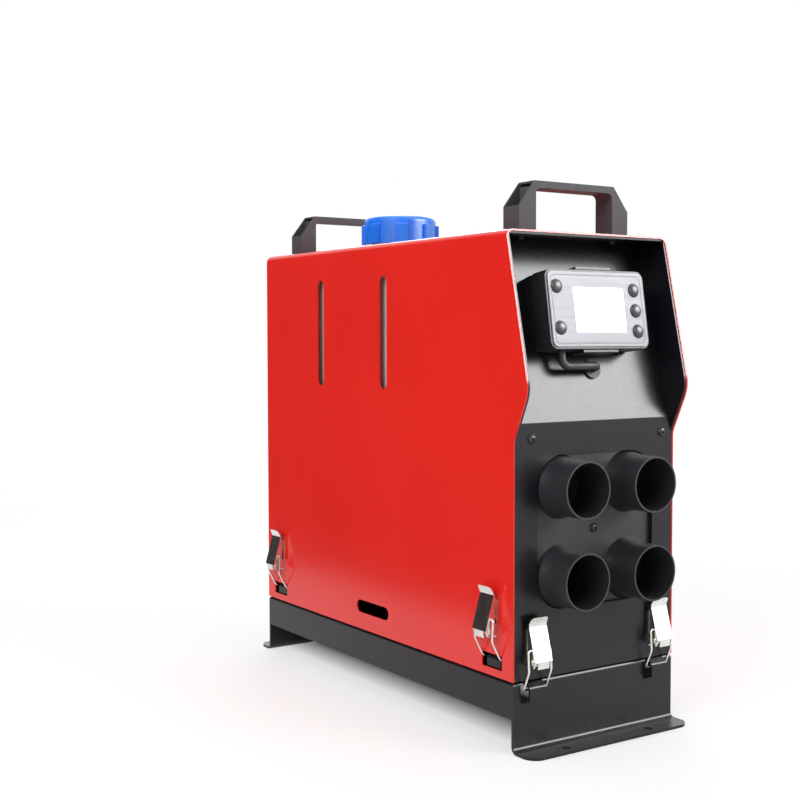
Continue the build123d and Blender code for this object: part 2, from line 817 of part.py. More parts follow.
def make_screw(length, head_height, dome):
    """Screw along +Z from under its head; the head hangs below the origin."""
    with BuildPart() as screw:
        with BuildSketch(Plane.XY):
            Circle(screw_radius - 2 * fit_gap)
        extrude(amount=length)
        with BuildSketch(Plane.XY):
            Circle(screw_head_radius)
        extrude(amount=-head_height)
        if dome:
            chamfer(screw.edges().sort_by(Axis.Z)[0], head_height * 0.6)
    return screw.part


def build_handles():
    for place, middle in handle_middles.items():
        build_handle(f"handle_{place}", middle)


# ---------------------------------------------------------------- outlets
def build_outlet_manifold():
    """Moulded manifold: one chamber behind the panel and four flared outlet tubes before it."""
    plate_front = front + panel_sheet
    tube_tip = front - outlet_reach
    tube_root = front + manifold_recess
    straight_start = tube_tip + outlet_straight
    chamber_back = plate_front + manifold_depth
    places = [(x, outlet_middle_height + z) for x in (-outlet_pitch / 2, outlet_pitch / 2)
              for z in (-outlet_pitch / 2, outlet_pitch / 2)]
    flange_side = cutout_side + 2 * manifold_margin
    chamber_side = cutout_side - 2 * chamber_inset
    chamber_round = cutout_round - chamber_inset
    with BuildPart() as manifold:
        with BuildSketch(Plane.XZ.offset(-plate_front)):
            with Locations((0, outlet_middle_height)):
                RectangleRounded(flange_side, flange_side, cutout_round + manifold_margin)
        extrude(amount=-manifold_sheet)
        with BuildSketch(Plane.XZ.offset(-plate_front)):
            with Locations((0, outlet_middle_height)):
                RectangleRounded(cutout_side - 2 * manifold_fit, cutout_side - 2 * manifold_fit,
                                 outlet_root_radius)
        extrude(amount=-(tube_root - plate_front), mode=Mode.SUBTRACT)
        for x, z in places:
            with BuildSketch(Plane(origin=(x, 0, z), x_dir=(1, 0, 0), z_dir=(0, 0, 1))):
                with BuildLine():
                    Polyline((0, tube_root), (outlet_root_radius, tube_root))
                    flare = TangentArc((outlet_radius, straight_start), (outlet_root_radius, tube_root),
                                       tangent=(0, 1))
                    Polyline(flare @ 0, (outlet_radius, tube_tip), (0, tube_tip), (0, tube_root))
                make_face()
            revolve(axis=Axis((x, 0, z), (0, 1, 0)))
        with BuildSketch(Plane.XZ.offset(-plate_front - manifold_sheet)):
            with Locations((0, outlet_middle_height)):
                RectangleRounded(chamber_side, chamber_side, chamber_round)
        with BuildSketch(Plane.XZ.offset(-chamber_back)):
            with Locations((0, outlet_middle_height)):
                Circle(duct_radius)
        loft()
        with BuildSketch(Plane.XZ.offset(-plate_front - manifold_sheet)):
            with Locations((0, outlet_middle_height)):
                RectangleRounded(chamber_side - 2 * duct_wall, chamber_side - 2 * duct_wall,
                                 chamber_round - duct_wall)
        with BuildSketch(Plane.XZ.offset(-chamber_back)):
            with Locations((0, outlet_middle_height)):
                Circle(duct_radius - duct_wall)
        loft(mode=Mode.SUBTRACT)
        with BuildSketch(Plane.XZ.offset(-tube_tip)):
            with Locations(*places):
                Circle(outlet_radius - outlet_wall)
            with Locations((0, outlet_middle_height)):
                Circle(screw_radius + fit_gap)
        extrude(amount=-(plate_front + manifold_sheet - tube_tip), mode=Mode.SUBTRACT)
    save(manifold, "outlet_manifold")


def build_air_duct():
    """Elbowless duct that drops from the manifold's collar to the burner unit's nozzle."""
    duct_front = front + panel_sheet + manifold_depth + side_gap
    duct_back = shell_front - nozzle_reach - side_gap
    with BuildPart() as air_duct:
        for shrink, mode in ((0, Mode.ADD), (duct_wall, Mode.SUBTRACT)):
            with BuildSketch(Plane.XZ.offset(-duct_front)):
                with Locations((0, outlet_middle_height)):
                    Circle(duct_radius - shrink)
            with BuildSketch(Plane.XZ.offset(-duct_back)):
                with Locations((0, intake_height)):
                    Circle(nozzle_radius - shrink)
            loft(mode=mode)
    save(air_duct, "air_duct")


def build_screws():
    """Casing screws: under both handles, in the front panel, the intake and the controller holder."""
    dome = make_screw(panel_sheet + 5, screw_head_height, True)
    flat = make_screw(cover_sheet + handle_sheet + 3, screw_head_height, False)
    thin = make_screw(panel_sheet + holder_seat + holder_screw_tail, flat_head_height, False)
    lining_under = under_cover - panel_clearance - panel_sheet
    handle_seats = [Plane(origin=(x, y, lining_under if y < 0 else under_cover))
                    for x, y in handle_screw_places()]
    panel_seats = [Plane(origin=(x, front, panel_screw_height), z_dir=(0, 1, 0)) for x in panel_screw_x]
    panel_seats.append(Plane(origin=(0, front + manifold_recess, outlet_middle_height), z_dir=(0, 1, 0)))
    turns = [math.radians(45 + 90 * step) for step in range(intake_screws)]
    intake_seats = [Plane(origin=(intake_screw_circle * math.cos(turn), rear + intake_flange_sheet,
                                  intake_height + intake_screw_circle * math.sin(turn)), z_dir=(0, -1, 0))
                    for turn in turns]
    sunk = fascia_plane(holder_seat + fit_gap)
    holder_seats = [Plane(origin=sunk.from_local_coords(Vector(x, controller_up, 0)), z_dir=-sunk.z_dir)
                    for x in holder_screw_x]
    with BuildPart() as screws:
        with Locations(*handle_seats):
            add(flat)
        with Locations(*panel_seats, *intake_seats):
            add(dome)
        with Locations(*holder_seats):
            add(thin)
    save(screws, "casing_screws")


# ---------------------------------------------------------------- rear intake
def build_rear_intake():
    with BuildPart() as intake:
        with BuildSketch(Plane.XZ.offset(-rear)):
            with Locations((0, intake_height)):
                Circle(intake_flange_radius)
                Circle(intake_outer_radius - intake_wall, mode=Mode.SUBTRACT)
                with PolarLocations(intake_screw_circle, intake_screws, start_angle=45):
                    Circle(screw_radius + fit_gap, mode=Mode.SUBTRACT)
        extrude(amount=-intake_flange_sheet)
        with BuildSketch(Plane.XZ.offset(-rear)):
            with Locations((0, intake_height)):
                Circle(intake_outer_radius + hose_stop)
                Circle(intake_outer_radius - intake_wall, mode=Mode.SUBTRACT)
        extrude(amount=-intake_stop_reach)
        chamfer(intake.faces().sort_by(Axis.Y)[-1].outer_wire().edges(), hose_stop)
        with BuildSketch(Plane.XZ.offset(-rear)):
            with Locations((0, intake_height)):
                Circle(intake_outer_radius)
                Circle(intake_outer_radius - intake_wall, mode=Mode.SUBTRACT)
        extrude(amount=-intake_reach)
        with BuildSketch(Plane.XZ.offset(-rear)):
            with Locations((0, intake_height)):
                for ring in range(1, 4):
                    Circle(ring * grille_ring_pitch + grille_ring_width / 2)
                    Circle(ring * grille_ring_pitch - grille_ring_width / 2, mode=Mode.SUBTRACT)
                with PolarLocations(0, grille_bars // 2):
                    Rectangle(2 * (intake_outer_radius - intake_wall / 2), grille_bar_width)
                Circle(grille_ring_pitch * 0.6)
        extrude(amount=-grille_depth)
    save(intake, "rear_intake_grille")


# ---------------------------------------------------------------- tank, shelf and cap
def build_fuel_tank():
    tank_bottom = shelf_height + shelf_sheet + tank_seat
    tank_top = under_cover - tank_head_gap
    tank_height = tank_top - tank_bottom
    tank_middle = (tank_front + tank_rear) / 2
    with BuildPart() as fuel_tank:
        with BuildSketch(Plane.XY.offset(tank_bottom)):
            with Locations((0, tank_middle)):
                RectangleRounded(tank_width, tank_rear - tank_front, tank_round)
        extrude(amount=tank_height)
        fillet(fuel_tank.faces().sort_by(Axis.Z)[0].edges(), tank_round / 2)
        fillet(fuel_tank.faces().sort_by(Axis.Z)[-1].edges(), tank_round / 2)
        with BuildSketch(Plane.XY.offset(tank_top - tank_round / 2)):
            with Locations((0, neck_y)):
                Circle(collar_radius)
        extrude(amount=collar_top - tank_top + tank_round / 2)
        with BuildSketch(Plane.XY.offset(collar_top)):
            with Locations((0, neck_y)):
                Circle(neck_radius)
        extrude(amount=neck_top - collar_top)
        with BuildSketch(Plane.XY.offset(tank_bottom + tank_wall)):
            with Locations((0, tank_middle)):
                RectangleRounded(tank_width - 2 * tank_wall, tank_rear - tank_front - 2 * tank_wall,
                                 tank_round - tank_wall)
        extrude(amount=tank_height - 2 * tank_wall, mode=Mode.SUBTRACT)
        with BuildSketch(Plane.XY.offset(neck_top)):
            with Locations((0, neck_y)):
                Circle(neck_bore)
        extrude(amount=-(neck_top - tank_top + 2 * tank_wall), mode=Mode.SUBTRACT)
        with BuildSketch(Plane.XY.offset(tank_bottom)):
            with Locations((pump_x, tank_outlet_y)):
                Circle(nipple_radius)
        extrude(amount=tank_wall, mode=Mode.SUBTRACT)
    save(fuel_tank, "fuel_tank")


def build_tank_shelf():
    """Sheet bridge: a deck under the tank on four legs that stand on the base."""
    with BuildPart() as shelf:
        with BuildSketch(Plane.XY.offset(shelf_height)):
            with Locations((0, (tank_front + tank_rear) / 2)):
                Rectangle(2 * shelf_half_width, tank_rear - tank_front)
            with Locations((pump_x, tank_outlet_y)):
                Circle(pump_radius, mode=Mode.SUBTRACT)
        extrude(amount=shelf_sheet)
        for middle in shelf_leg_y:
            for side in (-1, 1):
                with BuildSketch(Plane.XZ.offset(-middle)):
                    with BuildLine():
                        Polyline((side * (shelf_half_width - shelf_foot), deck_top),
                                 (side * (shelf_half_width - shelf_foot), deck_top + shelf_sheet),
                                 (side * (shelf_half_width - shelf_sheet), deck_top + shelf_sheet),
                                 (side * (shelf_half_width - shelf_sheet), shelf_height + shelf_sheet),
                                 (side * shelf_half_width, shelf_height + shelf_sheet),
                                 (side * shelf_half_width, deck_top), close=True)
                    make_face()
                extrude(amount=shelf_leg_width / 2, both=True)
        with BuildSketch(Plane.XZ.offset(-pump_clamp_y)):
            with Locations((pump_x, shelf_height - (shelf_height - pump_hanger) / 2)):
                Rectangle(clamp_thickness, shelf_height - pump_hanger)
        extrude(amount=clamp_width / 2, both=True)
    save(shelf, "tank_shelf")


def build_cap():
    """Screw cap with eight grip ribs, and the sealing ring under its crown."""
    skirt_bottom_height = collar_top + cap_gap
    seal_bottom = neck_top + cap_gap
    seal_top = seal_bottom + seal_height
    with BuildPart() as cap:
        with BuildSketch(Plane.XY.offset(skirt_bottom_height)):
            with Locations((0, neck_y)):
                with PolarLocations(cap_rib_radius - cap_rib_width / 2, cap_ribs, start_angle=15):
                    Rectangle(cap_rib_width, cap_rib_width)
        extrude(amount=cap_rib_top - skirt_bottom_height)
        fillet(cap.faces().group_by(Axis.Z)[-1].edges(), cap_rib_round)
        with BuildSketch(Plane.XY.offset(skirt_bottom_height)):
            with Locations((0, neck_y)):
                Circle(cap_radius)
        extrude(amount=cap_crown - skirt_bottom_height)
        fillet(cap.faces().sort_by(Axis.Z)[-1].edges(), cap_round)
        with BuildSketch(Plane.XY.offset(skirt_bottom_height)):
            with Locations((0, neck_y)):
                Circle(cap_bore)
        extrude(amount=cap_crown - cap_crown_thickness - skirt_bottom_height, mode=Mode.SUBTRACT)
    save(cap, "filler_cap")
    with BuildPart() as seal:
        with BuildSketch(Plane.XY.offset(seal_bottom)):
            with Locations((0, neck_y)):
                Circle(neck_radius)
                Circle(seal_inner, mode=Mode.SUBTRACT)
        extrude(amount=seal_top - seal_bottom)
    save(seal, "cap_seal")


# ---------------------------------------------------------------- controller
def build_controller():
    """Hand controller: open housing, face, display window, board and five keys."""
    cavity_back = housing_wall - controller_depth
    board_back = -board_drop - side_gap - board_sheet
    screen_middle = ((screen_left + screen_right) / 2, (screen_low + screen_high) / 2)
    screen_width = screen_right - screen_left
    screen_height = screen_high - screen_low
    inner_width = controller_width - 2 * housing_wall
    inner_height = controller_height - 2 * housing_wall
    with BuildPart() as housing:
        with BuildSketch(controller_plane(-controller_depth)):
            RectangleRounded(controller_width, controller_height, controller_corner)
        extrude(amount=controller_depth)
        fillet(housing.faces().sort_by(controller_axis)[0].edges(), housing_back_round)
        with BuildSketch(controller_plane(cavity_back)):
            RectangleRounded(inner_width, inner_height, controller_corner - housing_wall)
        extrude(amount=-cavity_back, mode=Mode.SUBTRACT)
    save(housing, "controller_housing")
    with BuildPart() as face:
        with BuildSketch(controller_plane(0)):
            RectangleRounded(face_width, face_height, controller_corner - (controller_width - face_width) / 2)
            with Locations(screen_middle):
                RectangleRounded(screen_width, screen_height, screen_corner, mode=Mode.SUBTRACT)
            with Locations(*button_places.values()):
                Circle(button_radius + button_gap, mode=Mode.SUBTRACT)
        extrude(amount=face_sheet)
    save(face, "controller_face")
    with BuildPart() as screen:
        with BuildSketch(controller_plane(-board_drop)):
            with Locations(screen_middle):
                RectangleRounded(screen_width - 2 * screen_gap, screen_height - 2 * screen_gap,
                                 screen_corner - screen_gap)
        extrude(amount=board_drop + face_sheet - screen_gap)
    save(screen, "display_window")
    with BuildPart() as board:
        with BuildSketch(controller_plane(-board_drop - side_gap)):
            RectangleRounded(inner_width - 2 * board_margin, inner_height - 2 * board_margin,
                             controller_corner - housing_wall - board_margin)
        extrude(amount=-board_sheet)
        with BuildSketch(controller_plane(board_back)):
            with GridLocations(controller_width - 2 * board_pillar_inset,
                               controller_height - 2 * board_pillar_inset, 2, 2):
                Circle(button_stem)
        extrude(amount=cavity_back - board_back)
    save(board, "controller_board")
    flange_back = -button_flange_sheet - button_gap
    for name, place in button_places.items():
        with BuildPart() as button:
            with BuildSketch(controller_plane(flange_back)):
                with Locations(place):
                    Circle(button_radius + button_flange)
            extrude(amount=button_flange_sheet)
            with BuildSketch(controller_plane(-button_gap)):
                with Locations(place):
                    Circle(button_radius)
            extrude(amount=button_gap + face_sheet + button_proud)
            fillet(button.edges().sort_by(controller_axis)[-1], button_proud * 0.9)
            with BuildSketch(controller_plane(flange_back)):
                with Locations(place):
                    Circle(button_radius / 2)
            extrude(amount=-(board_drop + flange_back - button_travel - button_gap))
        save(button, name)


def build_holder():
    """Clip-on holder: a wedge on the fascia that sets the controller upright, with two snap tabs."""
    seat = -controller_depth - holder_gap
    seat_plane = controller_plane(seat)
    wedge = []
    for side in (-1, 1):
        corner = seat_plane.from_local_coords(Vector(0, side * (controller_height / 2 - holder_inset), 0))
        foot = fascia_plane(0).to_local_coords(corner)
        foot = fascia_plane(seat_gap).from_local_coords(Vector(0, foot.Y, 0))
        wedge.extend([(foot.Y, foot.Z), (corner.Y, corner.Z)][::side])
    with BuildPart() as holder:
        with BuildSketch(Plane.YZ):
            with BuildLine():
                Polyline(*wedge, close=True)
            make_face()
        extrude(amount=controller_width / 2 - holder_inset, both=True)
        tab_foot = snap_sheet + side_gap + 2 * holder_inset
        for side in (-1, 1):
            edge = side * (controller_height / 2 + side_gap + snap_sheet / 2)
            with BuildSketch(controller_plane(seat - snap_foot)):
                with Locations((0, edge - side * (tab_foot - snap_sheet) / 2)):
                    Rectangle(snap_width, tab_foot)
            extrude(amount=snap_foot)
            with BuildSketch(controller_plane(seat - snap_foot)):
                with Locations((0, edge)):
                    Rectangle(snap_width, snap_sheet)
            extrude(amount=snap_foot - seat - snap_short)
        with BuildSketch(fascia_plane(0)):
            with Locations(*[(x, controller_up) for x in holder_screw_x]):
                Circle(screw_radius + fit_gap)
        extrude(amount=controller_reach, mode=Mode.SUBTRACT)
        with BuildSketch(fascia_plane(holder_seat)):
            with Locations(*[(x, controller_up) for x in holder_screw_x]):
                Circle(screw_head_radius + fit_gap)
        extrude(amount=controller_reach, mode=Mode.SUBTRACT)
    save(holder, "controller_holder")


def build_lead():
    """Controller lead: out of the housing's lower wall, round and into the fascia's grommet."""
    place = fascia_plane(0)
    outlet = Vector(lead_start_x, -controller_height / 2 - 2 * fit_gap, 0)
    points = [controller_plane(-lead_drop).from_local_coords(outlet)]
    route = [(lead_start_x, lead_hole[1], lead_out), (*lead_hole, lead_out), (*lead_hole, 0)]
    points.extend([place.from_local_coords(Vector(*point)) for point in route])
    with BuildPart() as lead:
        with BuildLine() as path:
            FilletPolyline(*points, radius=lead_bend)
        wire = path.wires()[0]
        with BuildSketch(Plane(origin=wire @ 0, z_dir=wire % 0)):
            Circle(lead_radius)
        sweep()
    print("lead length", round(wire.length, 1), "volume ratio",
          round(lead.part.volume / (math.pi * lead_radius ** 2 * wire.length), 4))
    save(lead, "controller_lead")
    with BuildPart() as grommet:
        with BuildSketch(fascia_plane(seat_gap)):
            with Locations(lead_hole):
                Circle(grommet_radius + grommet_rim)
                Circle(lead_radius + fit_gap, mode=Mode.SUBTRACT)
        extrude(amount=grommet_sheet)
        with BuildSketch(fascia_plane(seat_gap)):
            with Locations(lead_hole):
                Circle(grommet_radius - fit_gap)
                Circle(lead_radius + fit_gap, mode=Mode.SUBTRACT)
        extrude(amount=-panel_sheet - grommet_sheet)
    save(grommet, "lead_grommet")


# ---------------------------------------------------------------- burner unit
def unit_section(shrink):
    """The burner unit's cross-section, rounded more above than below."""
    with BuildSketch() as section:
        with Locations((0, (shell_bottom + shell_top) / 2)):
            RectangleRounded(shell_width - 2 * shrink, shell_top - shell_bottom - 2 * shrink,
                             shell_corner - shrink)
    return section.sketch


def build_shells():
    length = shell_rear - shell_front
    for name, low, high in (("heater_lower_shell", shell_bottom, intake_height - side_gap / 2),
                            ("heater_upper_shell", intake_height + side_gap / 2, shell_top)):
        with BuildPart() as shell:
            with BuildSketch(Plane.XZ.offset(-shell_rear)):
                add(unit_section(0))
            extrude(amount=length)
            for start, reach in ((-shell_front, nozzle_reach), (-shell_rear, -nozzle_reach)):
                with BuildSketch(Plane.XZ.offset(start)):
                    with Locations((0, intake_height)):
                        Circle(nozzle_radius)
                extrude(amount=reach)
            with BuildSketch(Plane.XZ.offset(-shell_rear + shell_wall)):
                add(unit_section(shell_wall))
            extrude(amount=length - 2 * shell_wall, mode=Mode.SUBTRACT)
            with BuildSketch(Plane.XZ.offset(-shell_rear - nozzle_reach)):
                with Locations((0, intake_height)):
                    Circle(nozzle_radius - shell_wall)
            extrude(amount=length + 2 * nozzle_reach, mode=Mode.SUBTRACT)
            with BuildSketch(Plane.XY.offset(low)):
                Rectangle(2 * shell_width, 2 * length)
            extrude(amount=high - low, mode=Mode.INTERSECT)
            if low == shell_bottom:
                with BuildSketch(Plane.XY.offset(shell_bottom)):
                    with Locations((0, pedestal_y)):
                        Rectangle(gasket_width - 8, gasket_length - 8)
                extrude(amount=2 * shell_wall, mode=Mode.SUBTRACT)
        save(shell, name)


def build_exchanger():
    """Finned aluminium casting on its pedestal, with the exhaust and breather stubs below."""
    length = exchanger_rear - exchanger_front
    pedestal_top = intake_height - exchanger_radius + exchanger_wall
    with BuildPart() as exchanger:
        with BuildSketch(Plane.XZ.offset(-exchanger_rear)):
            with Locations((0, intake_height)):
                Circle(exchanger_radius)
        extrude(amount=length)
        with BuildSketch(Plane.XZ.offset(-exchanger_rear + flange_sheet)):
            with Locations((0, intake_height)):
                with PolarLocations((exchanger_radius + fin_radius) / 2 - 1, fin_count,
                                    start_angle=90 + 180 / fin_count):
                    Rectangle(fin_radius - exchanger_radius + 2, fin_thickness)
        extrude(amount=length - flange_sheet)
        with BuildSketch(Plane.XY.offset(shell_bottom)):
            with Locations((0, pedestal_y)):
                RectangleRounded(gasket_width - pedestal_inset, gasket_length - pedestal_inset, pedestal_corner)
        extrude(amount=pedestal_top - shell_bottom)
        with BuildSketch(Plane.XY.offset(shell_bottom)):
            with Locations((0, pedestal_y + stub_y)):
                Circle(exhaust_radius + hose_stop)
            with Locations((0, pedestal_y - stub_y)):
                Circle(breather_radius + hose_stop)
        extrude(amount=-(shell_bottom - stub_stop))
        chamfer(exchanger.faces().group_by(Axis.Z)[0].edges(), hose_stop)
        with BuildSketch(Plane.XY.offset(shell_bottom)):
            with Locations((0, pedestal_y + stub_y)):
                Circle(exhaust_radius)
            with Locations((0, pedestal_y - stub_y)):
                Circle(breather_radius)
        extrude(amount=-(shell_bottom - stub_bottom))
        with BuildSketch(Plane.XZ.offset(-exchanger_rear)):
            with Locations((0, intake_height)):
                Circle(exchanger_radius - exchanger_wall)
        extrude(amount=length - exchanger_wall, mode=Mode.SUBTRACT)
        with BuildSketch(Plane.XY.offset(stub_bottom)):
            with Locations((0, pedestal_y - stub_y), (0, pedestal_y + stub_y)):
                Circle(exhaust_radius - stub_wall)
        extrude(amount=pedestal_top - stub_bottom - exchanger_wall - 2, mode=Mode.SUBTRACT)
        with BuildSketch(Plane.XY.offset(shell_bottom)):
            with Locations((0, pedestal_y)):
                with GridLocations(stud_spacing_x, stud_spacing_y, 2, 2):
                    Circle(stud_radius)
        extrude(amount=stud_depth + fit_gap, mode=Mode.SUBTRACT)
    save(exchanger, "heat_exchanger")
    with BuildPart() as gasket:
        with BuildSketch(Plane.XY.offset(deck_top)):
            with Locations((0, pedestal_y)):
                RectangleRounded(gasket_width, gasket_length, pedestal_corner)
                with GridLocations(stud_spacing_x, stud_spacing_y, 2, 2):
                    Circle(stud_radius + fit_gap, mode=Mode.SUBTRACT)
            with Locations((0, pedestal_y - stub_y)):
                Circle(breather_radius + hose_stop + fit_gap, mode=Mode.SUBTRACT)
            with Locations((0, pedestal_y + stub_y)):
                Circle(exhaust_radius + hose_stop + fit_gap, mode=Mode.SUBTRACT)
        extrude(amount=gasket_sheet)
    save(gasket, "mounting_gasket")
    stud_foot = deck_top - base_sheet - nut_height - 2
    with BuildPart() as studs:
        with BuildSketch(Plane.XY.offset(stud_foot)):
            with Locations((0, pedestal_y)):
                with GridLocations(stud_spacing_x, stud_spacing_y, 2, 2):
                    Circle(stud_radius - fit_gap)
        extrude(amount=shell_bottom + stud_depth - stud_foot)
        with BuildSketch(Plane.XY.offset(deck_top - base_sheet)):
            with Locations((0, pedestal_y)):
                with GridLocations(stud_spacing_x, stud_spacing_y, 2, 2):
                    RegularPolygon(nut_across / 2, 6, major_radius=False)
                    Circle(stud_radius, mode=Mode.SUBTRACT)
        extrude(amount=-nut_height)
    save(studs, "mounting_studs_and_nuts")


def build_burner():
    """Burner tube with its flange, the glow plug, the motor and the turning group."""
    flange_front = exchanger_rear + side_gap / 3
    chamber_front = flange_front + flange_sheet
    motor_front = chamber_front + chamber_length
    wheel_front = motor_front + motor_length + 3
    with BuildPart() as burner:
        with BuildSketch(Plane.XZ.offset(-flange_front)):
            with Locations((0, intake_height)):
                Circle(flange_radius)
                Circle(burner_radius - burner_wall, mode=Mode.SUBTRACT)
        extrude(amount=-flange_sheet)
        with BuildSketch(Plane.XZ.offset(-flange_front)):
            with Locations((0, intake_height)):
                Circle(burner_radius)
                Circle(burner_radius - burner_wall, mode=Mode.SUBTRACT)
        extrude(amount=flange_front - burner_front)
    save(burner, "burner_tube")
    with BuildPart() as chamber:
        with BuildSketch(Plane.XZ.offset(-chamber_front)):
            with Locations((0, intake_height)):
                Circle(flange_radius)
                Circle(impeller_radius + rotor_gap, mode=Mode.SUBTRACT)
        extrude(amount=-chamber_length)
        with BuildSketch(Plane.XZ.offset(-motor_front)):
            with Locations((0, intake_height)):
                Circle(flange_radius)
                Circle(shaft_radius + fit_gap, mode=Mode.SUBTRACT)
        extrude(amount=-2)
        with BuildSketch(Plane.XZ.offset(-motor_front - 2)):
            with Locations((0, intake_height)):
                Circle(motor_radius)
                Circle(shaft_radius + fit_gap, mode=Mode.SUBTRACT)
        extrude(amount=-(motor_length - 2))
    save(chamber, "blower_motor")
    with BuildPart() as shaft:
        with BuildSketch(Plane.XZ.offset(-chamber_front - 1)):
            with Locations((0, intake_height)):
                Circle(shaft_radius)
        extrude(amount=-(wheel_front + wheel_length - chamber_front - 1))
    save(shaft, "rotor_shaft")
    for name, radius, blades, start, depth in (
            ("combustion_impeller", impeller_radius, impeller_blades, chamber_front + 2, chamber_length - 4),
            ("blower_wheel", wheel_radius, wheel_blades, wheel_front, wheel_length)):
        with BuildPart() as wheel:
            with BuildSketch(Plane.XZ.offset(-start)):
                with Locations((0, intake_height)):
                    Circle(radius - rotor_gap)
                    Circle(shaft_radius, mode=Mode.SUBTRACT)
            extrude(amount=-2)
            with BuildSketch(Plane.XZ.offset(-start)):
                with Locations((0, intake_height)):
                    Circle(shaft_radius * 3)
                    Circle(shaft_radius, mode=Mode.SUBTRACT)
                    with PolarLocations(radius * blade_middle, blades):
                        Rectangle(radius * blade_length, blade_thickness, rotation=blade_turn)
            extrude(amount=-depth)
        save(wheel, name)
    with BuildPart() as plug:
        with BuildSketch(Plane.XY.offset(intake_height + exchanger_radius + seat_gap)):
            with Locations((0, exchanger_rear - plug_from_rear)):
                RegularPolygon(plug_across / 2, 6, major_radius=False)
        extrude(amount=plug_height)
        with BuildSketch(Plane.XY.offset(intake_height + exchanger_radius + plug_height)):
            with Locations((0, exchanger_rear - plug_from_rear)):
                Circle(plug_pin_radius)
        extrude(amount=plug_pin_height)
    save(plug, "glow_plug")
    with BuildPart() as sensor:
        with BuildSketch(Plane.XY.offset(intake_height + exchanger_radius + seat_gap)):
            with Locations((0, exchanger_front + sensor_from_front)):
                RectangleRounded(sensor_width, sensor_length, sensor_corner)
        extrude(amount=sensor_height)
    save(sensor, "overheat_sensor")


# ---------------------------------------------------------------- fuel and wiring
def along_y(radius, y_low, y_high, x=pump_x, z=pump_height):
    with BuildPart() as rod:
        with BuildSketch(Plane.XZ.offset(-y_high)):
            with Locations((x, z)):
                Circle(radius)
        extrude(amount=y_high - y_low)
    return rod


def make_hose(points, radius, bends):
    with BuildPart() as hose:
        with BuildLine() as path:
            if bends:
                FilletPolyline(*points, radius=bends)
            else:
                Line(*points)
        wire = path.wires()[0]
        with BuildSketch(Plane(origin=wire @ 0, z_dir=wire % 0)):
            Circle(radius)
            Circle(nipple_radius + fit_gap, mode=Mode.SUBTRACT)
        sweep()
    return hose


def build_fuel_system():
    pump_front = pump_rear - pump_length
    with BuildPart() as pump:
        add(along_y(pump_radius, pump_front + pump_neck_length, pump_rear).part)
        add(along_y(pump_neck_radius, pump_front, pump_front + pump_neck_length).part)
        add(along_y(nipple_radius, pump_front - nipple_length, pump_rear + nipple_length).part)
    save(pump, "fuel_pump")
    with BuildPart() as clamp:
        with BuildSketch(Plane.XZ.offset(-pump_clamp_y)):
            with Locations((pump_x, pump_height)):
                Circle(pump_radius + clamp_thickness - fit_gap)
                Circle(pump_radius + fit_gap, mode=Mode.SUBTRACT)
        extrude(amount=clamp_width / 2, both=True)
    save(clamp, "pump_clamp")
    filter_rear = filter_front + filter_length
    with BuildPart() as fuel_filter:
        add(along_y(filter_radius, filter_front, filter_rear).part)
        add(along_y(nipple_radius, filter_front - nipple_length, filter_rear + nipple_length).part)
    save(fuel_filter, "fuel_filter")
    tank_bottom = shelf_height + shelf_sheet + tank_seat
    with BuildPart() as fitting:
        with BuildSketch(Plane.XY.offset(tank_bottom - fit_gap)):
            with Locations((pump_x, tank_outlet_y)):
                Circle(nipple_radius * 2)
        extrude(amount=-3)
        with BuildSketch(Plane.XY.offset(tank_bottom + tank_wall)):
            with Locations((pump_x, tank_outlet_y)):
                Circle(nipple_radius - fit_gap)
        extrude(amount=-(tank_wall + 3 + nipple_length))
    line_top = tank_bottom - fit_gap - 3.1
    inlet_top = shell_top + 6
    hoses = [make_hose([(pump_x, tank_outlet_y, line_top), (pump_x, tank_outlet_y, pump_height),
                        (pump_x, filter_rear + seat_gap, pump_height)], hose_radius,
                       [(line_top - pump_height) * hose_bend_share]),
             make_hose([(pump_x, filter_front - seat_gap, pump_height),
                        (pump_x, pump_rear + seat_gap, pump_height)],
                       hose_radius, []),
             make_hose([(pump_x, pump_front - seat_gap, pump_height), (pump_x, fuel_inlet_y, pump_height),
                        (pump_x, fuel_inlet_y, inlet_top)], hose_radius,
                       [(pump_height - inlet_top) * hose_bend_share])]
    with BuildPart() as fuel_hoses:
        for hose in hoses:
            add(hose.part)
    save(fuel_hoses, "fuel_hoses")
    with BuildPart() as fittings:
        add(fitting.part)
        with BuildSketch(Plane.XY.offset(shell_top + seat_gap)):
            with Locations((pump_x, fuel_inlet_y)):
                Circle(nipple_radius * 2)
        extrude(amount=4.0)
        with BuildSketch(Plane.XY.offset(shell_top + seat_gap)):
            with Locations((pump_x, fuel_inlet_y)):
                Circle(nipple_radius - fit_gap)
        extrude(amount=4.0 + nipple_length)
    save(fittings, "fuel_fittings")
    with BuildPart() as unit:
        with BuildSketch(Plane.XY.offset(shell_top + seat_gap)):
            with Locations((control_x, control_y)):
                RectangleRounded(control_width, control_length, 5)
        extrude(amount=control_height)
        fillet(unit.faces().sort_by(Axis.Z)[-1].edges(), 2)
    save(unit, "control_unit")
    with BuildPart() as gland:
        with BuildSketch(Plane.XZ.offset(-rear)):
            with Locations((gland_x, gland_height)):
                RegularPolygon(gland_radius + 3, 6)
                Circle(gland_bore, mode=Mode.SUBTRACT)
        extrude(amount=-gland_reach / 2)
        with BuildSketch(Plane.XZ.offset(-rear - gland_reach)):
            with Locations((gland_x, gland_height)):
                Circle(gland_radius - 1)
                Circle(gland_bore, mode=Mode.SUBTRACT)
        extrude(amount=gland_reach + panel_sheet + 5)
    save(gland, "power_gland")


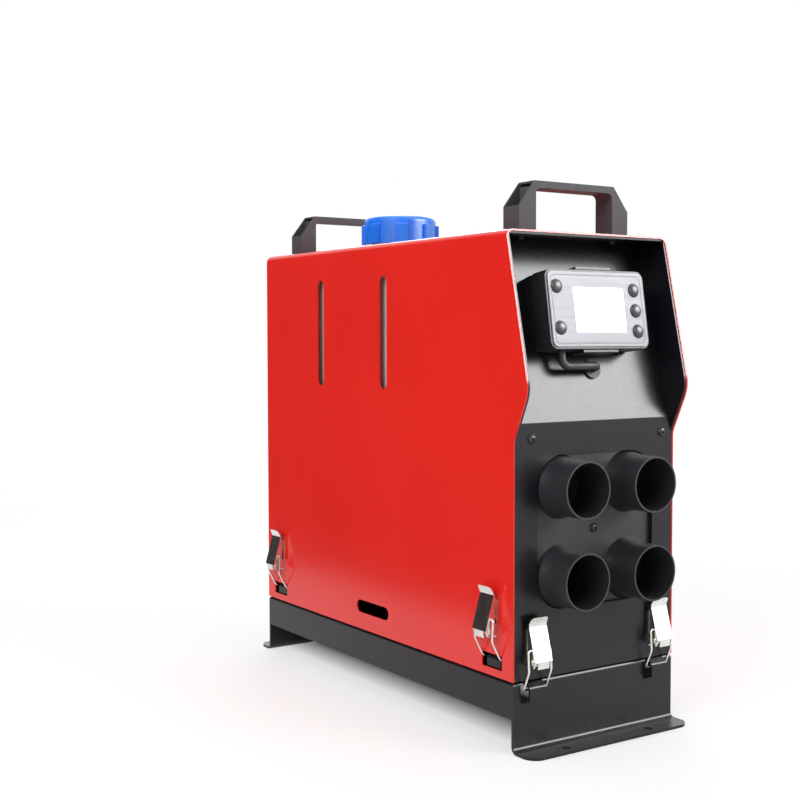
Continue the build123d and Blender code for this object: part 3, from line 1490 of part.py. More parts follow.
def build_side_catches():
    """Brackets on the deck inside the cover, whose hooks stand behind the side windows."""
    stem_face = side_bar_reach - stem_depth
    stem_back = stem_face - hook_sheet
    hook = hook_strip(side_bar, stem_face)
    foot = deck_top - latch_side_height
    foot_top = foot + hook_sheet
    foot_back = stem_face - catch_foot
    head = side_bar[0] + hook_above + hook_slope + hook_sheet * 0.9
    with BuildPart() as catches:
        for plane in side_latches.values():
            side_view = Plane(origin=plane.origin, x_dir=plane.y_dir, z_dir=plane.x_dir)
            with BuildSketch(side_view):
                add(hook)
                with BuildLine():
                    Polyline((head, stem_face), (head, stem_back), (foot_top, stem_back), (foot_top, foot_back),
                             (foot, foot_back), (foot, stem_face), close=True)
                make_face()
            extrude(amount=hook_width / 2, both=True)
    save(catches, "side_catches")


build_latches()
build_base_tray()
build_red_cover()
build_front_panel()
build_rear_panel()
build_handles()
build_outlet_manifold()
build_air_duct()
build_screws()
build_rear_intake()
build_fuel_tank()
build_tank_shelf()
build_cap()
build_controller()
build_holder()
build_lead()
build_shells()
build_exchanger()
build_burner()
build_fuel_system()
build_side_catches()
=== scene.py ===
import bpy
import json
import math
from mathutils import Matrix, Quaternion, Vector


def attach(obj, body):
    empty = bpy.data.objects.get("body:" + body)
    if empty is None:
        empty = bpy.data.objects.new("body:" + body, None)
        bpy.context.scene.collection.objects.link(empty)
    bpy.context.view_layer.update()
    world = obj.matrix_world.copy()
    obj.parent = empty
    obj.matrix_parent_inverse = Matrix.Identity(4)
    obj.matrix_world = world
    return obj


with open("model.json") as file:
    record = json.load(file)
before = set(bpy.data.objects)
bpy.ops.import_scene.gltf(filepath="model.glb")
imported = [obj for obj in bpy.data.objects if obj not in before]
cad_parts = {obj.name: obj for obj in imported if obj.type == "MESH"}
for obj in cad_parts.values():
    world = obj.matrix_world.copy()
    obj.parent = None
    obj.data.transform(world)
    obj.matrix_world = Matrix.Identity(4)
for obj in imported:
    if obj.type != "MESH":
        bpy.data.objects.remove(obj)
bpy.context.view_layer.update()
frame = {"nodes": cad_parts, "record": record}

# Looks of the portable diesel air heater. Metres, in the CAD's own frame.
mm = 0.001

# ---------------------------------------------------------------- view of the photograph
camera_place = Vector((-0.5955, -0.8276, 0.27715))
camera_azimuth = math.radians(-33.487)
camera_elevation = math.radians(2.757)
camera_roll = math.radians(-0.106)
camera_lens = 57.08
camera_sensor = 36.0
camera_clip = (0.01, 50.0)

# ---------------------------------------------------------------- studio
room_size = 9.0
ambient_light = 0.30
floor_grey = 0.8              # the floor as the lamps' light meets it
floor_fade = (0.55, 1.5)      # the floor's shadow fades into white between these distances
floor_glow = 0.60             # share of the floor's white that a shadow doesn't reach
# painted shade under the base: the glow grows from none to full between these distances from its middle
painted_shade_under_base = {"X": (0.020, 0.060), "Y": (0.160, 0.200)}
table_edge = -0.295           # the red side mirrors a dark room beyond this line
card_front = -0.1
card_back = 1.4
card_top = 0.8
card_black = 0.02
part_middle = (0, 0, 0.19)
fascia_middle = (0, -0.155, 0.285)

# ---------------------------------------------------------------- screws, as in the CAD
panel_face = -174.0 * mm
panel_screws = ((-58.0, 210.5), (61.5, 210.5))   # across and up, in mm
manifold_screw_height = 146.0 * mm
manifold_face = panel_face + 3.0 * mm
intake_flange_face = 176.5 * mm
intake_height = 112.0 * mm
intake_screw_circle = 49.0 * mm
intake_screws = 4
first_intake_screw = math.radians(45)
button_radius = 3.3 * mm
button_height = 2.3 * mm
button_root = -0.1 * mm       # the button head reaches this far into the face that it sits on
button_steps = (32, 20)       # faces round and up
# the screws' sockets are six-sided marks of painted shade, not hollows: this wide, with this many sides
socket_radius = 1.25 * mm
socket_sides = 6

# ---------------------------------------------------------------- tank neck
neck_middle = Vector((0, 72.0 * mm, 0))
neck_radius = 24.5 * mm
thread_low = 358.5 * mm
thread_pitch = 6.0 * mm
thread_turns = 1.8
thread_ridge = 0.9 * mm
thread_steps = 96
thread_sides = 12

# ---------------------------------------------------------------- controller
fascia_foot = Vector((0, -174.0, 221.0)) * mm
fascia_slope = math.atan2(40.0, 129.0)
controller_up = 72.6 * mm
controller_reach = 22.9 * mm  # the front's middle stands this far out from the fascia
controller_tilt = math.radians(9.0)
controller_turn = (math.radians(90) - controller_tilt, 0, 0)   # lays a flat drawing on its front
face_sheet = 1.0 * mm         # the silver face is this thick
border_width = 81.6 * mm
border_height = 47.0 * mm
border_corner = 4.0 * mm
border_line = 0.35 * mm
border_rise = 0.6             # the line's height, as a share of its width
border_steps = 8
# the keys' middles, across and up from the middle of the front, in mm
key_places = {"power_button": (-36.4, 15.4), "menu_button": (-36.0, -13.0), "up_button": (33.8, 13.6),
              "ok_button": (34.0, -0.9), "down_button": (34.3, -15.4)}
key_radius = 4.7 * mm
key_middle = 1.2 * mm         # height of the dome's widest ring above the controller's front
key_dome_height = 2.3 * mm
key_steps = (40, 24)

# ---------------------------------------------------------------- finishes
pattern_low = 0.3             # a noise pattern lies mostly between these two values
pattern_high = 0.7


def add_node(tree, kind, inputs=None, **settings):
    """A node; inputs are given by socket name or number, as a value or as another node's output."""
    node = tree.nodes.new(kind)
    for setting, value in settings.items():
        setattr(node, setting, value)
    for socket, value in (inputs or {}).items():
        if isinstance(value, bpy.types.NodeSocket):
            tree.links.new(value, node.inputs[socket])
        else:
            node.inputs[socket].default_value = value
    return node


class Finish:
    """A material: one shader, its constant values on its own sockets, and the patterns that feed it."""

    def __init__(self, name, **constants):
        self.material = bpy.data.materials.new(name)
        self.material.use_nodes = True
        self.tree = self.material.node_tree
        self.shader = self.tree.nodes["Principled BSDF"]
        self.place = self.add("ShaderNodeTexCoord").outputs["Object"]
        for socket, value in constants.items():
            self.shader.inputs[socket.replace("_", " ")].default_value = value

    def add(self, kind, inputs=None, **settings):
        return add_node(self.tree, kind, inputs, **settings)

    def feed(self, output, socket):
        """The shader takes that socket's value from a pattern."""
        self.tree.links.new(output, self.shader.inputs[socket])

    def noise(self, scale, detail=2.0, stretch=(1, 1, 1)):
        """Noise on Object coordinates; a stretch makes it run along one direction."""
        stretched = self.add("ShaderNodeMapping", {"Vector": self.place, "Scale": stretch})
        node = self.add("ShaderNodeTexNoise", {"Vector": stretched.outputs["Vector"], "Scale": scale,
                                               "Detail": detail})
        return node.outputs["Fac"]

    def cells(self, scale, feature="F1"):
        node = self.add("ShaderNodeTexVoronoi", {"Vector": self.place, "Scale": scale}, feature=feature)
        return node.outputs["Distance"]

    def tint(self, pattern, dark, light):
        """Colour that goes from dark to light with the pattern."""
        ramp = self.add("ShaderNodeValToRGB", {"Fac": pattern})
        ends = ramp.color_ramp.elements
        for end, value, colour in zip(ends, (pattern_low, pattern_high), (dark, light)):
            end.position = value
            end.color = (*colour, 1)
        self.feed(ramp.outputs["Color"], "Base Color")
        return ramp.outputs["Color"]

    def rough(self, pattern, low, high):
        """Roughness that goes from low to high with the pattern."""
        spread = self.add("ShaderNodeMapRange", {"Value": pattern, "From Min": pattern_low,
                                                 "From Max": pattern_high, "To Min": low, "To Max": high})
        self.feed(spread.outputs["Result"], "Roughness")

    def relief(self, *layers):
        """Bump from (pattern, depth) layers, one after the other."""
        under = {}
        for pattern, depth in layers:
            bump = self.add("ShaderNodeBump", {"Height": pattern, "Distance": depth, **under})
            under = {"Normal": bump.outputs["Normal"]}
        self.feed(under["Normal"], "Normal")


def red_powder_coat():
    finish = Finish("red_powder_coat", Specular_IOR_Level=0.5)
    finish.tint(finish.noise(9), (0.74, 0.016, 0.010), (0.79, 0.020, 0.013))
    finish.rough(finish.noise(160, 3), 0.16, 0.22)
    finish.relief((finish.noise(650, 2), 0.02 * mm), (finish.noise(2600, 1), 0.006 * mm))
    return finish.material


def black_powder_coat():
    finish = Finish("black_powder_coat", Specular_IOR_Level=0.38)
    finish.tint(finish.noise(14, 3), (0.006, 0.005, 0.008), (0.008, 0.007, 0.010))
    finish.rough(finish.noise(260, 3), 0.27, 0.30)
    finish.relief((finish.noise(1500, 2), 0.008 * mm), (finish.cells(2200), 0.003 * mm))
    return finish.material


def grey_powder_coat():
    """The carrying handles' coat, lighter and duller than the casing's black."""
    finish = Finish("grey_powder_coat", Specular_IOR_Level=0.25)
    finish.tint(finish.noise(16, 3), (0.066, 0.066, 0.072), (0.078, 0.078, 0.084))
    finish.rough(finish.noise(240, 3), 0.62, 0.70)
    finish.relief((finish.noise(1300, 2), 0.03 * mm), (finish.cells(2000), 0.012 * mm))
    return finish.material


def black_moulding():
    finish = Finish("black_moulding", Specular_IOR_Level=0.5)
    finish.tint(finish.noise(30, 3), (0.018, 0.017, 0.021), (0.024, 0.023, 0.027))
    finish.rough(finish.noise(300, 3), 0.36, 0.44)
    finish.relief((finish.cells(1800), 0.012 * mm), (finish.noise(90), 0.02 * mm))
    return finish.material


def bright_nickel():
    finish = Finish("bright_nickel", Metallic=1.0)
    finish.tint(finish.noise(120, 3), (0.70, 0.69, 0.65), (0.82, 0.81, 0.77))
    finish.rough(finish.noise(300, 4, (1, 1, 0.08)), 0.14, 0.26)
    finish.relief((finish.noise(900, 2, (1, 1, 0.06)), 0.006 * mm), (finish.noise(60), 0.02 * mm))
    return finish.material


def zinc_plate():
    finish = Finish("zinc_plate", Metallic=1.0)
    finish.tint(finish.cells(140), (0.50, 0.52, 0.55), (0.68, 0.70, 0.72))
    finish.rough(finish.noise(200, 3), 0.30, 0.46)
    finish.relief((finish.noise(500, 3), 0.015 * mm))
    return finish.material


def tank_plastic():
    finish = Finish("tank_plastic", Subsurface_Weight=0.25, Subsurface_Scale=0.01)
    finish.tint(finish.noise(12, 3), (0.66, 0.67, 0.64), (0.76, 0.77, 0.75))
    finish.rough(finish.noise(150, 3), 0.38, 0.5)
    finish.relief((finish.noise(45, 2), 0.15 * mm), (finish.noise(900, 2), 0.02 * mm))
    return finish.material


def blue_cap_plastic():
    finish = Finish("blue_cap_plastic", Coat_Weight=0.2, Coat_Roughness=0.2)
    finish.tint(finish.noise(40, 3), (0.010, 0.19, 0.92), (0.014, 0.22, 0.98))
    finish.rough(finish.noise(220, 3), 0.24, 0.34)
    finish.relief((finish.noise(120, 2), 0.04 * mm))
    return finish.material


def moulded_rubber(name, dark, light):
    finish = Finish(name)
    finish.tint(finish.noise(80, 3), dark, light)
    finish.rough(finish.noise(240, 3), 0.5, 0.65)
    finish.relief((finish.noise(1200, 3), 0.02 * mm))
    return finish.material


def silver_face_film():
    finish = Finish("silver_face_film", Metallic=0.06, Specular_IOR_Level=0.15)
    finish.tint(finish.noise(500, 3, (0.05, 1, 1)), (0.32, 0.32, 0.35), (0.38, 0.38, 0.41))
    finish.rough(finish.noise(300, 2, (0.05, 1, 1)), 0.30, 0.40)
    finish.relief((finish.noise(1500, 2, (0.03, 1, 1)), 0.003 * mm))
    return finish.material


def lit_display():
    """Backlit display under a clear window: an even white, a little cooler in places."""
    finish = Finish("lit_display", Coat_Weight=1.0, Coat_Roughness=0.04, Roughness=0.2,
                    Emission_Strength=0.80)
    white = finish.tint(finish.noise(25), (0.82, 0.84, 0.87), (0.90, 0.91, 0.92))
    finish.feed(white, "Emission Color")
    finish.relief((finish.noise(60, 1), 0.004 * mm))
    return finish.material


def key_rubber():
    finish = Finish("key_rubber", Coat_Weight=0.4, Coat_Roughness=0.30)
    finish.tint(finish.noise(300, 3), (0.022, 0.022, 0.026), (0.034, 0.034, 0.038))
    finish.rough(finish.noise(500, 3), 0.36, 0.48)
    finish.relief((finish.noise(1500, 2), 0.01 * mm))
    return finish.material


def circuit_board():
    finish = Finish("circuit_board", Coat_Weight=0.5, Coat_Roughness=0.2, Roughness=0.4)
    finish.tint(finish.cells(260, "DISTANCE_TO_EDGE"), (0.03, 0.13, 0.06), (0.012, 0.07, 0.035))
    finish.relief((finish.cells(260, "DISTANCE_TO_EDGE"), 0.05 * mm))
    return finish.material


def cast_aluminium():
    finish = Finish("cast_aluminium", Metallic=1.0)
    finish.tint(finish.noise(90, 5), (0.50, 0.50, 0.49), (0.66, 0.66, 0.65))
    finish.rough(finish.noise(350, 4), 0.42, 0.6)
    finish.relief((finish.noise(700, 5), 0.06 * mm))
    return finish.material


def heat_stained_steel():
    finish = Finish("heat_stained_steel", Metallic=1.0)
    finish.tint(finish.noise(35, 4), (0.34, 0.27, 0.20), (0.52, 0.50, 0.49))
    finish.rough(finish.noise(200, 4), 0.28, 0.45)
    finish.relief((finish.noise(600, 3), 0.01 * mm))
    return finish.material


def painted_socket_shade():
    """Near-black paint for the screws' sockets: painted shade where their hollows would be dark."""
    finish = Finish("painted_socket_shade", Specular_IOR_Level=0.2)
    finish.tint(finish.noise(900, 3), (0.003, 0.003, 0.003), (0.008, 0.008, 0.008))
    finish.rough(finish.noise(700, 2), 0.6, 0.8)
    return finish.material


def pressed_fibre():
    finish = Finish("pressed_fibre")
    finish.tint(finish.noise(900, 5), (0.10, 0.09, 0.08), (0.26, 0.24, 0.21))
    finish.rough(finish.noise(400, 3), 0.75, 0.9)
    finish.relief((finish.noise(1400, 4), 0.08 * mm))
    return finish.material


def turned_brass():
    finish = Finish("turned_brass", Metallic=1.0)
    finish.tint(finish.noise(150, 3), (0.66, 0.46, 0.18), (0.80, 0.60, 0.28))
    finish.rough(finish.noise(700, 3, (0.1, 0.1, 1)), 0.2, 0.34)
    finish.relief((finish.noise(1600, 2, (0.05, 0.05, 1)), 0.008 * mm))
    return finish.material


def filter_plastic():
    finish = Finish("filter_plastic", Transmission_Weight=0.5, IOR=1.46)
    finish.tint(finish.noise(60, 2), (0.72, 0.70, 0.55), (0.82, 0.80, 0.68))
    finish.rough(finish.noise(200, 3), 0.18, 0.3)
    finish.relief((finish.noise(500, 2), 0.01 * mm))
    return finish.material


finishes = {
    "red_paint": red_powder_coat(),
    "black_paint": black_powder_coat(),
    "black_plastic": black_moulding(),
    "nickel_steel": bright_nickel(),
    "zinc_steel": zinc_plate(),
    "white_plastic": tank_plastic(),
    "blue_plastic": blue_cap_plastic(),
    "seal_rubber": moulded_rubber("seal_rubber", (0.015, 0.015, 0.016), (0.03, 0.03, 0.032)),
    "silver_face": silver_face_film(),
    "display_glass": lit_display(),
    "grey_rubber": key_rubber(),
    "board_green": circuit_board(),
    "cast_aluminium": cast_aluminium(),
    "heat_steel": heat_stained_steel(),
    "gasket_fibre": pressed_fibre(),
    "brass_fitting": turned_brass(),
    "filter_plastic": filter_plastic(),
    "hose_rubber": moulded_rubber("hose_rubber", (0.010, 0.010, 0.011), (0.022, 0.022, 0.024)),
}
handle_coat = grey_powder_coat()
socket_shade_paint = painted_socket_shade()
# The handles' coat is lighter than the casing's. The side catches, back in the cover's
# windows, wear the casing's black paint as painted shade of those shadowed windows.
coats_and_painted_shade = {"handle_front": handle_coat, "handle_rear": handle_coat,
             "side_catches": finishes["black_paint"]}


def dress_nodes():
    """Each CAD piece gets the finish of its material slot."""
    for subpart in frame["record"]["subparts"]:
        node = frame["nodes"][subpart["node"]]
        finish = coats_and_painted_shade.get(subpart["node"], finishes[subpart["material_slot"]])
        if not node.material_slots:
            node.data.materials.append(finish)
        for material_slot in node.material_slots:
            material_slot.material = finish


# ---------------------------------------------------------------- edges
# Sheared, moulded and cast edges are never quite sharp: each piece gets a small round
# of its own radius, and smooth shading across its curves.
edge_rounds = {
    "red_cover": 0.35, "front_panel": 0.35, "rear_panel": 0.35, "base_tray": 0.4,
    "handle_front": 0.4, "handle_rear": 0.4, "outlet_manifold": 0.6, "rear_intake_grille": 0.4,
    "controller_housing": 0.5, "controller_face": 0.3, "controller_holder": 0.4, "display_window": 0.2,
    "latch_plates": 0.15, "filler_cap": 0.3, "fuel_tank": 0.6, "power_gland": 0.5, "tank_shelf": 0.3,
}
smooth_below = math.radians(35)
weld_within = 0.002 * mm
flat_within = math.radians(0.5)
round_above = math.radians(40)
round_steps = 2


class Recipe:
    """A Geometry Nodes tree with named sizes; finished() turns its result into a plain mesh piece."""

    def __init__(self, name, **sizes):
        self.tree = bpy.data.node_groups.new(name, "GeometryNodeTree")
        self.tree.interface.new_socket("Geometry", in_out="INPUT", socket_type="NodeSocketGeometry")
        self.values = {}
        for size, value in sizes.items():
            kind = "NodeSocketVector" if isinstance(value, (tuple, Vector)) else "NodeSocketFloat"
            socket = self.tree.interface.new_socket(size, in_out="INPUT", socket_type=kind)
            self.values[socket.identifier] = value
        self.tree.interface.new_socket("Geometry", in_out="OUTPUT", socket_type="NodeSocketGeometry")
        self.start = self.tree.nodes.new("NodeGroupInput")
        self.end = self.tree.nodes.new("NodeGroupOutput")

    def add(self, kind, inputs=None, **settings):
        return add_node(self.tree, kind, inputs, **settings)

    def size(self, name):
        return self.start.outputs[name]

    def product(self, first, second):
        return self.add("ShaderNodeMath", {0: first, 1: second}, operation="MULTIPLY").outputs[0]

    def below(self, value, limit):
        """True where the value is under the limit."""
        return self.add("FunctionNodeCompare", {"A": value, "B": limit}, operation="LESS_THAN").outputs[0]

    def ball(self, steps, **placing):
        """A ball as wide as the Radius and as high as the Height, placed by the transform's inputs."""
        faces_round, faces_up = steps
        sphere = self.add("GeometryNodeMeshUVSphere",
                          {"Segments": faces_round, "Rings": faces_up, "Radius": 1.0})
        spread = self.add("ShaderNodeCombineXYZ", {"X": self.size("Radius"), "Y": self.size("Radius"),
                                                   "Z": self.size("Height")})
        shaped = self.add("GeometryNodeTransform", {"Geometry": sphere.outputs["Mesh"],
                                                    "Scale": spread.outputs[0], **placing})
        return shaped.outputs[0]

    def wire(self, path, sides, radius):
        """A round wire along the path."""
        profile = self.add("GeometryNodeCurvePrimitiveCircle", {"Resolution": sides, "Radius": radius})
        swept = self.add("GeometryNodeCurveToMesh", {"Curve": path, "Profile Curve": profile.outputs["Curve"],
                                                     "Fill Caps": True})
        return swept.outputs[0]

    def set_on_points(self, shape, turn):
        """The shape on each of the piece's points, turned that way."""
        return self.add("GeometryNodeInstanceOnPoints", {"Points": self.size("Geometry"), "Instance": shape,
                                                         "Rotation": turn}).outputs[0]

    def end_with(self, geometry):
        self.tree.links.new(geometry, self.end.inputs[0])

    def modify(self, thing, name):
        modifier = thing.modifiers.new(name, "NODES")
        modifier.node_group = self.tree
        for identifier, value in self.values.items():
            modifier[identifier] = value
        return modifier

    def finished(self, geometry, finish, body, points=((0, 0, 0),)):
        """The piece as a plain mesh at the origin, riding on that body."""
        name = self.tree.name
        plain = self.add("GeometryNodeRealizeInstances", {"Geometry": geometry})
        smooth = self.add("GeometryNodeSetShadeSmooth", {"Geometry": plain.outputs[0]})
        painted = self.add("GeometryNodeSetMaterial", {"Geometry": smooth.outputs[0], "Material": finish})
        self.end_with(painted.outputs[0])
        seed = bpy.data.meshes.new(name + "_points")
        seed.from_pydata([tuple(point) for point in points], [], [])
        piece = bpy.data.objects.new(name, seed)
        bpy.context.scene.collection.objects.link(piece)
        modifier = self.modify(piece, name)
        graph = bpy.context.evaluated_depsgraph_get()
        mesh = bpy.data.meshes.new_from_object(piece.evaluated_get(graph), depsgraph=graph)
        piece.modifiers.remove(modifier)
        piece.data = mesh
        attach(piece, body)


def shading_recipe():
    """Shades every face smooth and keeps edges sharp above a named angle."""
    recipe = Recipe("shade_by_angle", Sharp_Above=smooth_below)
    angle = recipe.add("GeometryNodeInputMeshEdgeAngle").outputs["Unsigned Angle"]
    gentle = recipe.below(angle, recipe.size("Sharp_Above"))
    faces = recipe.add("GeometryNodeSetShadeSmooth", {"Geometry": recipe.size("Geometry")})
    edges = recipe.add("GeometryNodeSetShadeSmooth",
                       {"Geometry": faces.outputs[0], "Shade Smooth": gentle}, domain="EDGE")
    recipe.end_with(edges.outputs[0])
    return recipe


def round_edges():
    """Modifiers that finish each CAD piece; its own mesh stays as it is."""
    shading = shading_recipe()
    for name, node in frame["nodes"].items():
        weld = node.modifiers.new("weld", "WELD")
        weld.merge_threshold = weld_within
        if name in edge_rounds:
            flatten = node.modifiers.new("flatten", "DECIMATE")
            flatten.decimate_type = "DISSOLVE"
            flatten.angle_limit = flat_within
            bevel = node.modifiers.new("edge", "BEVEL")
            bevel.width = edge_rounds[name] * mm
            bevel.segments = round_steps
            bevel.limit_method = "ANGLE"
            bevel.angle_limit = round_above
            bevel.use_clamp_overlap = True
        shading.modify(node, "shading")
        flat = node.modifiers.new("flat_faces", "WEIGHTED_NORMAL")
        flat.keep_sharp = True


# ---------------------------------------------------------------- small fasteners and trim
def build_button_screws(name, places, outward, body):
    """Button heads over the CAD's plain heads, each with a black six-sided prism as painted shade of its
    socket.
    """
    turn = Vector((0, 0, 1)).rotation_difference(Vector(outward)).to_euler()
    heads = Recipe(name, Radius=button_radius, Height=button_height, Root=button_root)
    place = heads.add("GeometryNodeInputPosition")
    split = heads.add("ShaderNodeSeparateXYZ", {"Vector": place.outputs[0]})
    sunk = heads.below(split.outputs["Z"], heads.size("Root"))
    dome = heads.add("GeometryNodeDeleteGeometry", {"Geometry": heads.ball(button_steps), "Selection": sunk})
    heads.finished(heads.set_on_points(dome.outputs[0], turn), finishes["black_plastic"], body, places)

    # The sockets are not cut: a near-black six-sided prism stands in each head, its top painted shade of a
    # socket.
    sockets = Recipe(name + "_sockets", Radius=socket_radius, Height=button_height)
    prism = sockets.add("GeometryNodeMeshCylinder",
                        {"Vertices": socket_sides, "Radius": sockets.size("Radius"),
                         "Depth": sockets.size("Height")})
    lift = sockets.add("ShaderNodeCombineXYZ", {"Z": sockets.product(sockets.size("Height"), 0.5)})
    raised = sockets.add("GeometryNodeTransform", {"Geometry": prism.outputs["Mesh"],
                                                   "Translation": lift.outputs[0]})
    sockets.finished(sockets.set_on_points(raised.outputs[0], turn), socket_shade_paint, body, places)


def build_screws():
    front_places = [(across * mm, panel_face, up * mm) for across, up in panel_screws]
    front_places.append((0, manifold_face, manifold_screw_height))
    build_button_screws("front_button_screws", front_places, (0, -1, 0), "casing")
    turns = [first_intake_screw + 2 * math.pi * step / intake_screws for step in range(intake_screws)]
    rear_places = [(intake_screw_circle * math.cos(turn), intake_flange_face,
                    intake_height + intake_screw_circle * math.sin(turn)) for turn in turns]
    build_button_screws("rear_button_screws", rear_places, (0, 1, 0), "casing")


def build_neck_thread():
    """The tank neck's thread ridge, which the cap climbs."""
    thread = Recipe("neck_thread", Neck_Radius=neck_radius, Pitch=thread_pitch, Turns=thread_turns,
                    Ridge=thread_ridge, Low_End=neck_middle + Vector((0, 0, thread_low)))
    helix = thread.add("GeometryNodeCurveSpiral",
                       {"Resolution": thread_steps, "Rotations": thread.size("Turns"),
                        "Start Radius": thread.size("Neck_Radius"), "End Radius": thread.size("Neck_Radius"),
                        "Height": thread.product(thread.size("Pitch"), thread.size("Turns"))})
    ridge = thread.wire(helix.outputs[0], thread_sides, thread.size("Ridge"))
    placed = thread.add("GeometryNodeTransform", {"Geometry": ridge, "Translation": thread.size("Low_End")})
    thread.finished(placed.outputs[0], finishes["white_plastic"], "casing")


def leaning(slope):
    """The outward and upward directions of a front that leans back by that slope."""
    outward = Vector((0, -math.cos(slope), math.sin(slope)))
    upward = Vector((0, math.sin(slope), math.cos(slope)))
    return outward, upward


def on_controller(across, up, out):
    """A place measured from the middle of the controller's front."""
    fascia_out, fascia_up = leaning(fascia_slope)
    front_out, front_up = leaning(controller_tilt)
    middle = fascia_foot + fascia_up * controller_up + fascia_out * controller_reach
    return middle + Vector((across, 0, 0)) + front_up * up + front_out * out


def build_key_domes():
    """Each key's top is domed, so its middle catches the light and its rim stays dark."""
    for key, (across, up) in key_places.items():
        dome = Recipe(key + "_dome", Radius=key_radius, Height=key_dome_height,
                      Middle=on_controller(across * mm, up * mm, key_middle), Turn=controller_turn)
        ball = dome.ball(key_steps, Translation=dome.size("Middle"), Rotation=dome.size("Turn"))
        dome.finished(ball, finishes["grey_rubber"], key + "_body")


def build_face_border():
    """The fine raised line round the controller's face."""
    border = Recipe("face_border", Width=border_width, Height=border_height, Corner=border_corner,
                    Line=border_line, Middle=on_controller(0, 0, face_sheet), Turn=controller_turn)
    outline = border.add("GeometryNodeCurvePrimitiveQuadrilateral",
                         {"Width": border.size("Width"), "Height": border.size("Height")})
    rounded = border.add("GeometryNodeFilletCurve",
                         {"Curve": outline.outputs[0], "Radius": border.size("Corner"),
                          "Count": border_steps}, mode="POLY")
    line = border.wire(rounded.outputs[0], border_steps, border.size("Line"))
    placed = border.add("GeometryNodeTransform",
                        {"Geometry": line, "Scale": (1, 1, border_rise),
                         "Rotation": border.size("Turn"), "Translation": border.size("Middle")})
    border.finished(placed.outputs[0], finishes["silver_face"], "casing")


# ---------------------------------------------------------------- studio
def seen_as_background(tree):
    """1 for rays that show the background: from the camera, off gloss and through glass."""
    rays = add_node(tree, "ShaderNodeLightPath")
    total = rays.outputs["Is Camera Ray"]
    for name in ("Is Glossy Ray", "Is Transmission Ray"):
        total = add_node(tree, "ShaderNodeMath", {0: total, 1: rays.outputs[name]},
                         operation="MAXIMUM").outputs[0]
    return total


def build_world():
    world = bpy.data.worlds.new("studio")
    bpy.context.scene.world = world
    world.use_nodes = True
    tree = world.node_tree
    strength = add_node(tree, "ShaderNodeMapRange",
                        {"Value": seen_as_background(tree), "To Min": ambient_light, "To Max": 1.0})
    background = tree.nodes["Background"]
    background.inputs["Color"].default_value = (1, 1, 1, 1)
    tree.links.new(strength.outputs["Result"], background.inputs["Strength"])


def build_board(name, corners, material):
    """A flat board of the studio, through four corners."""
    mesh = bpy.data.meshes.new(name)
    mesh.from_pydata(corners, [], [(0, 1, 2, 3)])
    mesh.materials.append(material)
    board = bpy.data.objects.new(name, mesh)
    bpy.context.scene.collection.objects.link(board)
    return board


def glow_beside_base(tree, place):
    """The floor's glow: none under the middle of the base, as painted shade there, and full beside it."""
    axes = add_node(tree, "ShaderNodeSeparateXYZ", {0: place})
    shares = []
    for axis, (start, full) in painted_shade_under_base.items():
        aside = add_node(tree, "ShaderNodeMath", {0: axes.outputs[axis]}, operation="ABSOLUTE")
        share = add_node(tree, "ShaderNodeMapRange", {"Value": aside.outputs[0], "From Min": start,
                                                      "From Max": full, "To Max": floor_glow})
        shares.append(share.outputs["Result"])
    return add_node(tree, "ShaderNodeMath", {0: shares[0], 1: shares[1]}, operation="MAXIMUM").outputs[0]


def floor_finish():
    """Near the part, a pale floor with a soft shadow; further out, plain white."""
    material = bpy.data.materials.new("studio_floor")
    material.use_nodes = True
    tree = material.node_tree
    tree.nodes.clear()
    place = add_node(tree, "ShaderNodeTexCoord").outputs["Object"]
    lit = add_node(tree, "ShaderNodeBsdfDiffuse", {"Color": (floor_grey, floor_grey, floor_grey, 1)})
    shaded = add_node(tree, "ShaderNodeBsdfDiffuse", {"Color": (1 - floor_glow,) * 3 + (1,)})
    glow = add_node(tree, "ShaderNodeEmission", {"Strength": glow_beside_base(tree, place)})
    near = add_node(tree, "ShaderNodeAddShader", {0: shaded.outputs[0], 1: glow.outputs[0]})
    white = add_node(tree, "ShaderNodeEmission")
    distance = add_node(tree, "ShaderNodeVectorMath", {0: place}, operation="LENGTH")
    fade_start, fade_end = floor_fade
    fade = add_node(tree, "ShaderNodeMapRange", {"Value": distance.outputs["Value"], "From Min": fade_start,
                                                 "From Max": fade_end}, interpolation_type="SMOOTHSTEP")
    shown = add_node(tree, "ShaderNodeMixShader",
                     {0: fade.outputs["Result"], 1: near.outputs[0], 2: white.outputs[0]})
    either = add_node(tree, "ShaderNodeMixShader",
                      {0: seen_as_background(tree), 1: lit.outputs[0], 2: shown.outputs[0]})
    add_node(tree, "ShaderNodeOutputMaterial", {"Surface": either.outputs[0]})
    return material


def build_floor():
    half = room_size / 2
    corners = [(-half, -half, 0), (half, -half, 0), (half, half, 0), (-half, half, 0)]
    floor = build_board("studio_floor", corners, floor_finish())


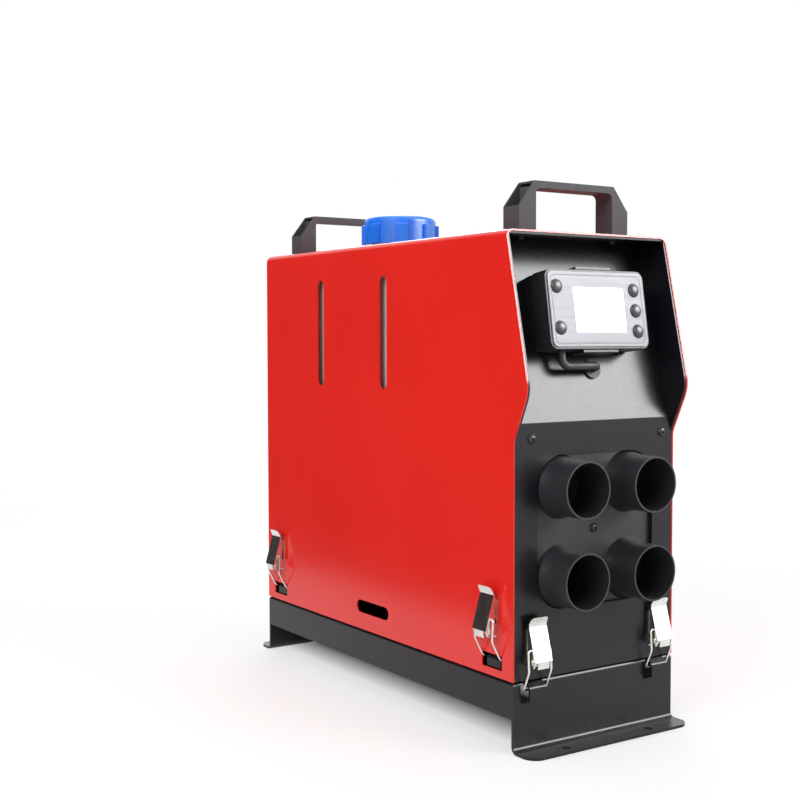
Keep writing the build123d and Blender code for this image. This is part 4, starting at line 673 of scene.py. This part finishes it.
def build_dark_card():
    """Black card beyond the table's edge: only glossy surfaces see it, as they mirror a dark room."""
    black = Finish("dark_card", Base_Color=(card_black, card_black, card_black, 1), Roughness=1.0)
    corners = [(table_edge, card_front, 0), (table_edge, card_back, 0),
               (table_edge, card_back, card_top), (table_edge, card_front, card_top)]
    card = build_board("dark_card", corners, black.material)
    card.visible_camera = False
    card.visible_diffuse = False
    card.visible_transmission = False
    card.visible_shadow = False


def build_softbox(name, place, target, width, height, radiance):
    """Area lamp of that radiance, so its power follows its size."""
    lamp = bpy.data.lights.new(name, "AREA")
    lamp.shape = "RECTANGLE"
    lamp.size = width
    lamp.size_y = height
    lamp.energy = radiance * math.pi * width * height
    softbox = bpy.data.objects.new(name, lamp)
    softbox.location = place
    softbox.rotation_mode = "QUATERNION"
    softbox.rotation_quaternion = (Vector(target) - Vector(place)).to_track_quat("-Z", "Y")
    bpy.context.scene.collection.objects.link(softbox)
    return softbox


def build_lights():
    # The sloping fascia mirrors this one into the camera, and matt surfaces don't see it.
    mirrored = build_softbox("fascia_softbox", (0.96, -1.14, 0.93), fascia_middle,
                             width=1.15, height=0.76, radiance=12.5)
    mirrored.visible_diffuse = False
    build_softbox("front_softbox", (1.1, -1.7, 1.1), part_middle, width=1.2, height=1.2, radiance=4.0)
    build_softbox("left_softbox", (-1.9, -0.6, 1.3), part_middle, width=1.5, height=1.5, radiance=4.3)
    build_softbox("top_softbox", (0.2, 0.3, 2.3), part_middle, width=1.6, height=1.6, radiance=2.5)
    build_softbox("rear_softbox", (1.2, 1.7, 1.2), part_middle, width=1.0, height=1.0, radiance=4.0)


def build_camera():
    data = bpy.data.cameras.new("camera")
    data.lens = camera_lens
    data.sensor_width = camera_sensor
    data.clip_start, data.clip_end = camera_clip
    camera = bpy.data.objects.new("camera", data)
    back = Vector((math.sin(camera_azimuth) * math.cos(camera_elevation),
                   -math.cos(camera_azimuth) * math.cos(camera_elevation), math.sin(camera_elevation)))
    camera.location = camera_place
    camera.rotation_mode = "QUATERNION"
    camera.rotation_quaternion = (-back).to_track_quat("-Z", "Y") @ Quaternion((0, 0, 1), camera_roll)
    bpy.context.scene.collection.objects.link(camera)
    bpy.context.scene.camera = camera


dress_nodes()
round_edges()
build_screws()
build_neck_thread()
build_face_border()
build_key_domes()
build_world()
build_floor()
build_dark_card()
build_lights()
build_camera()
bpy.context.scene.view_settings.view_transform = "Standard"
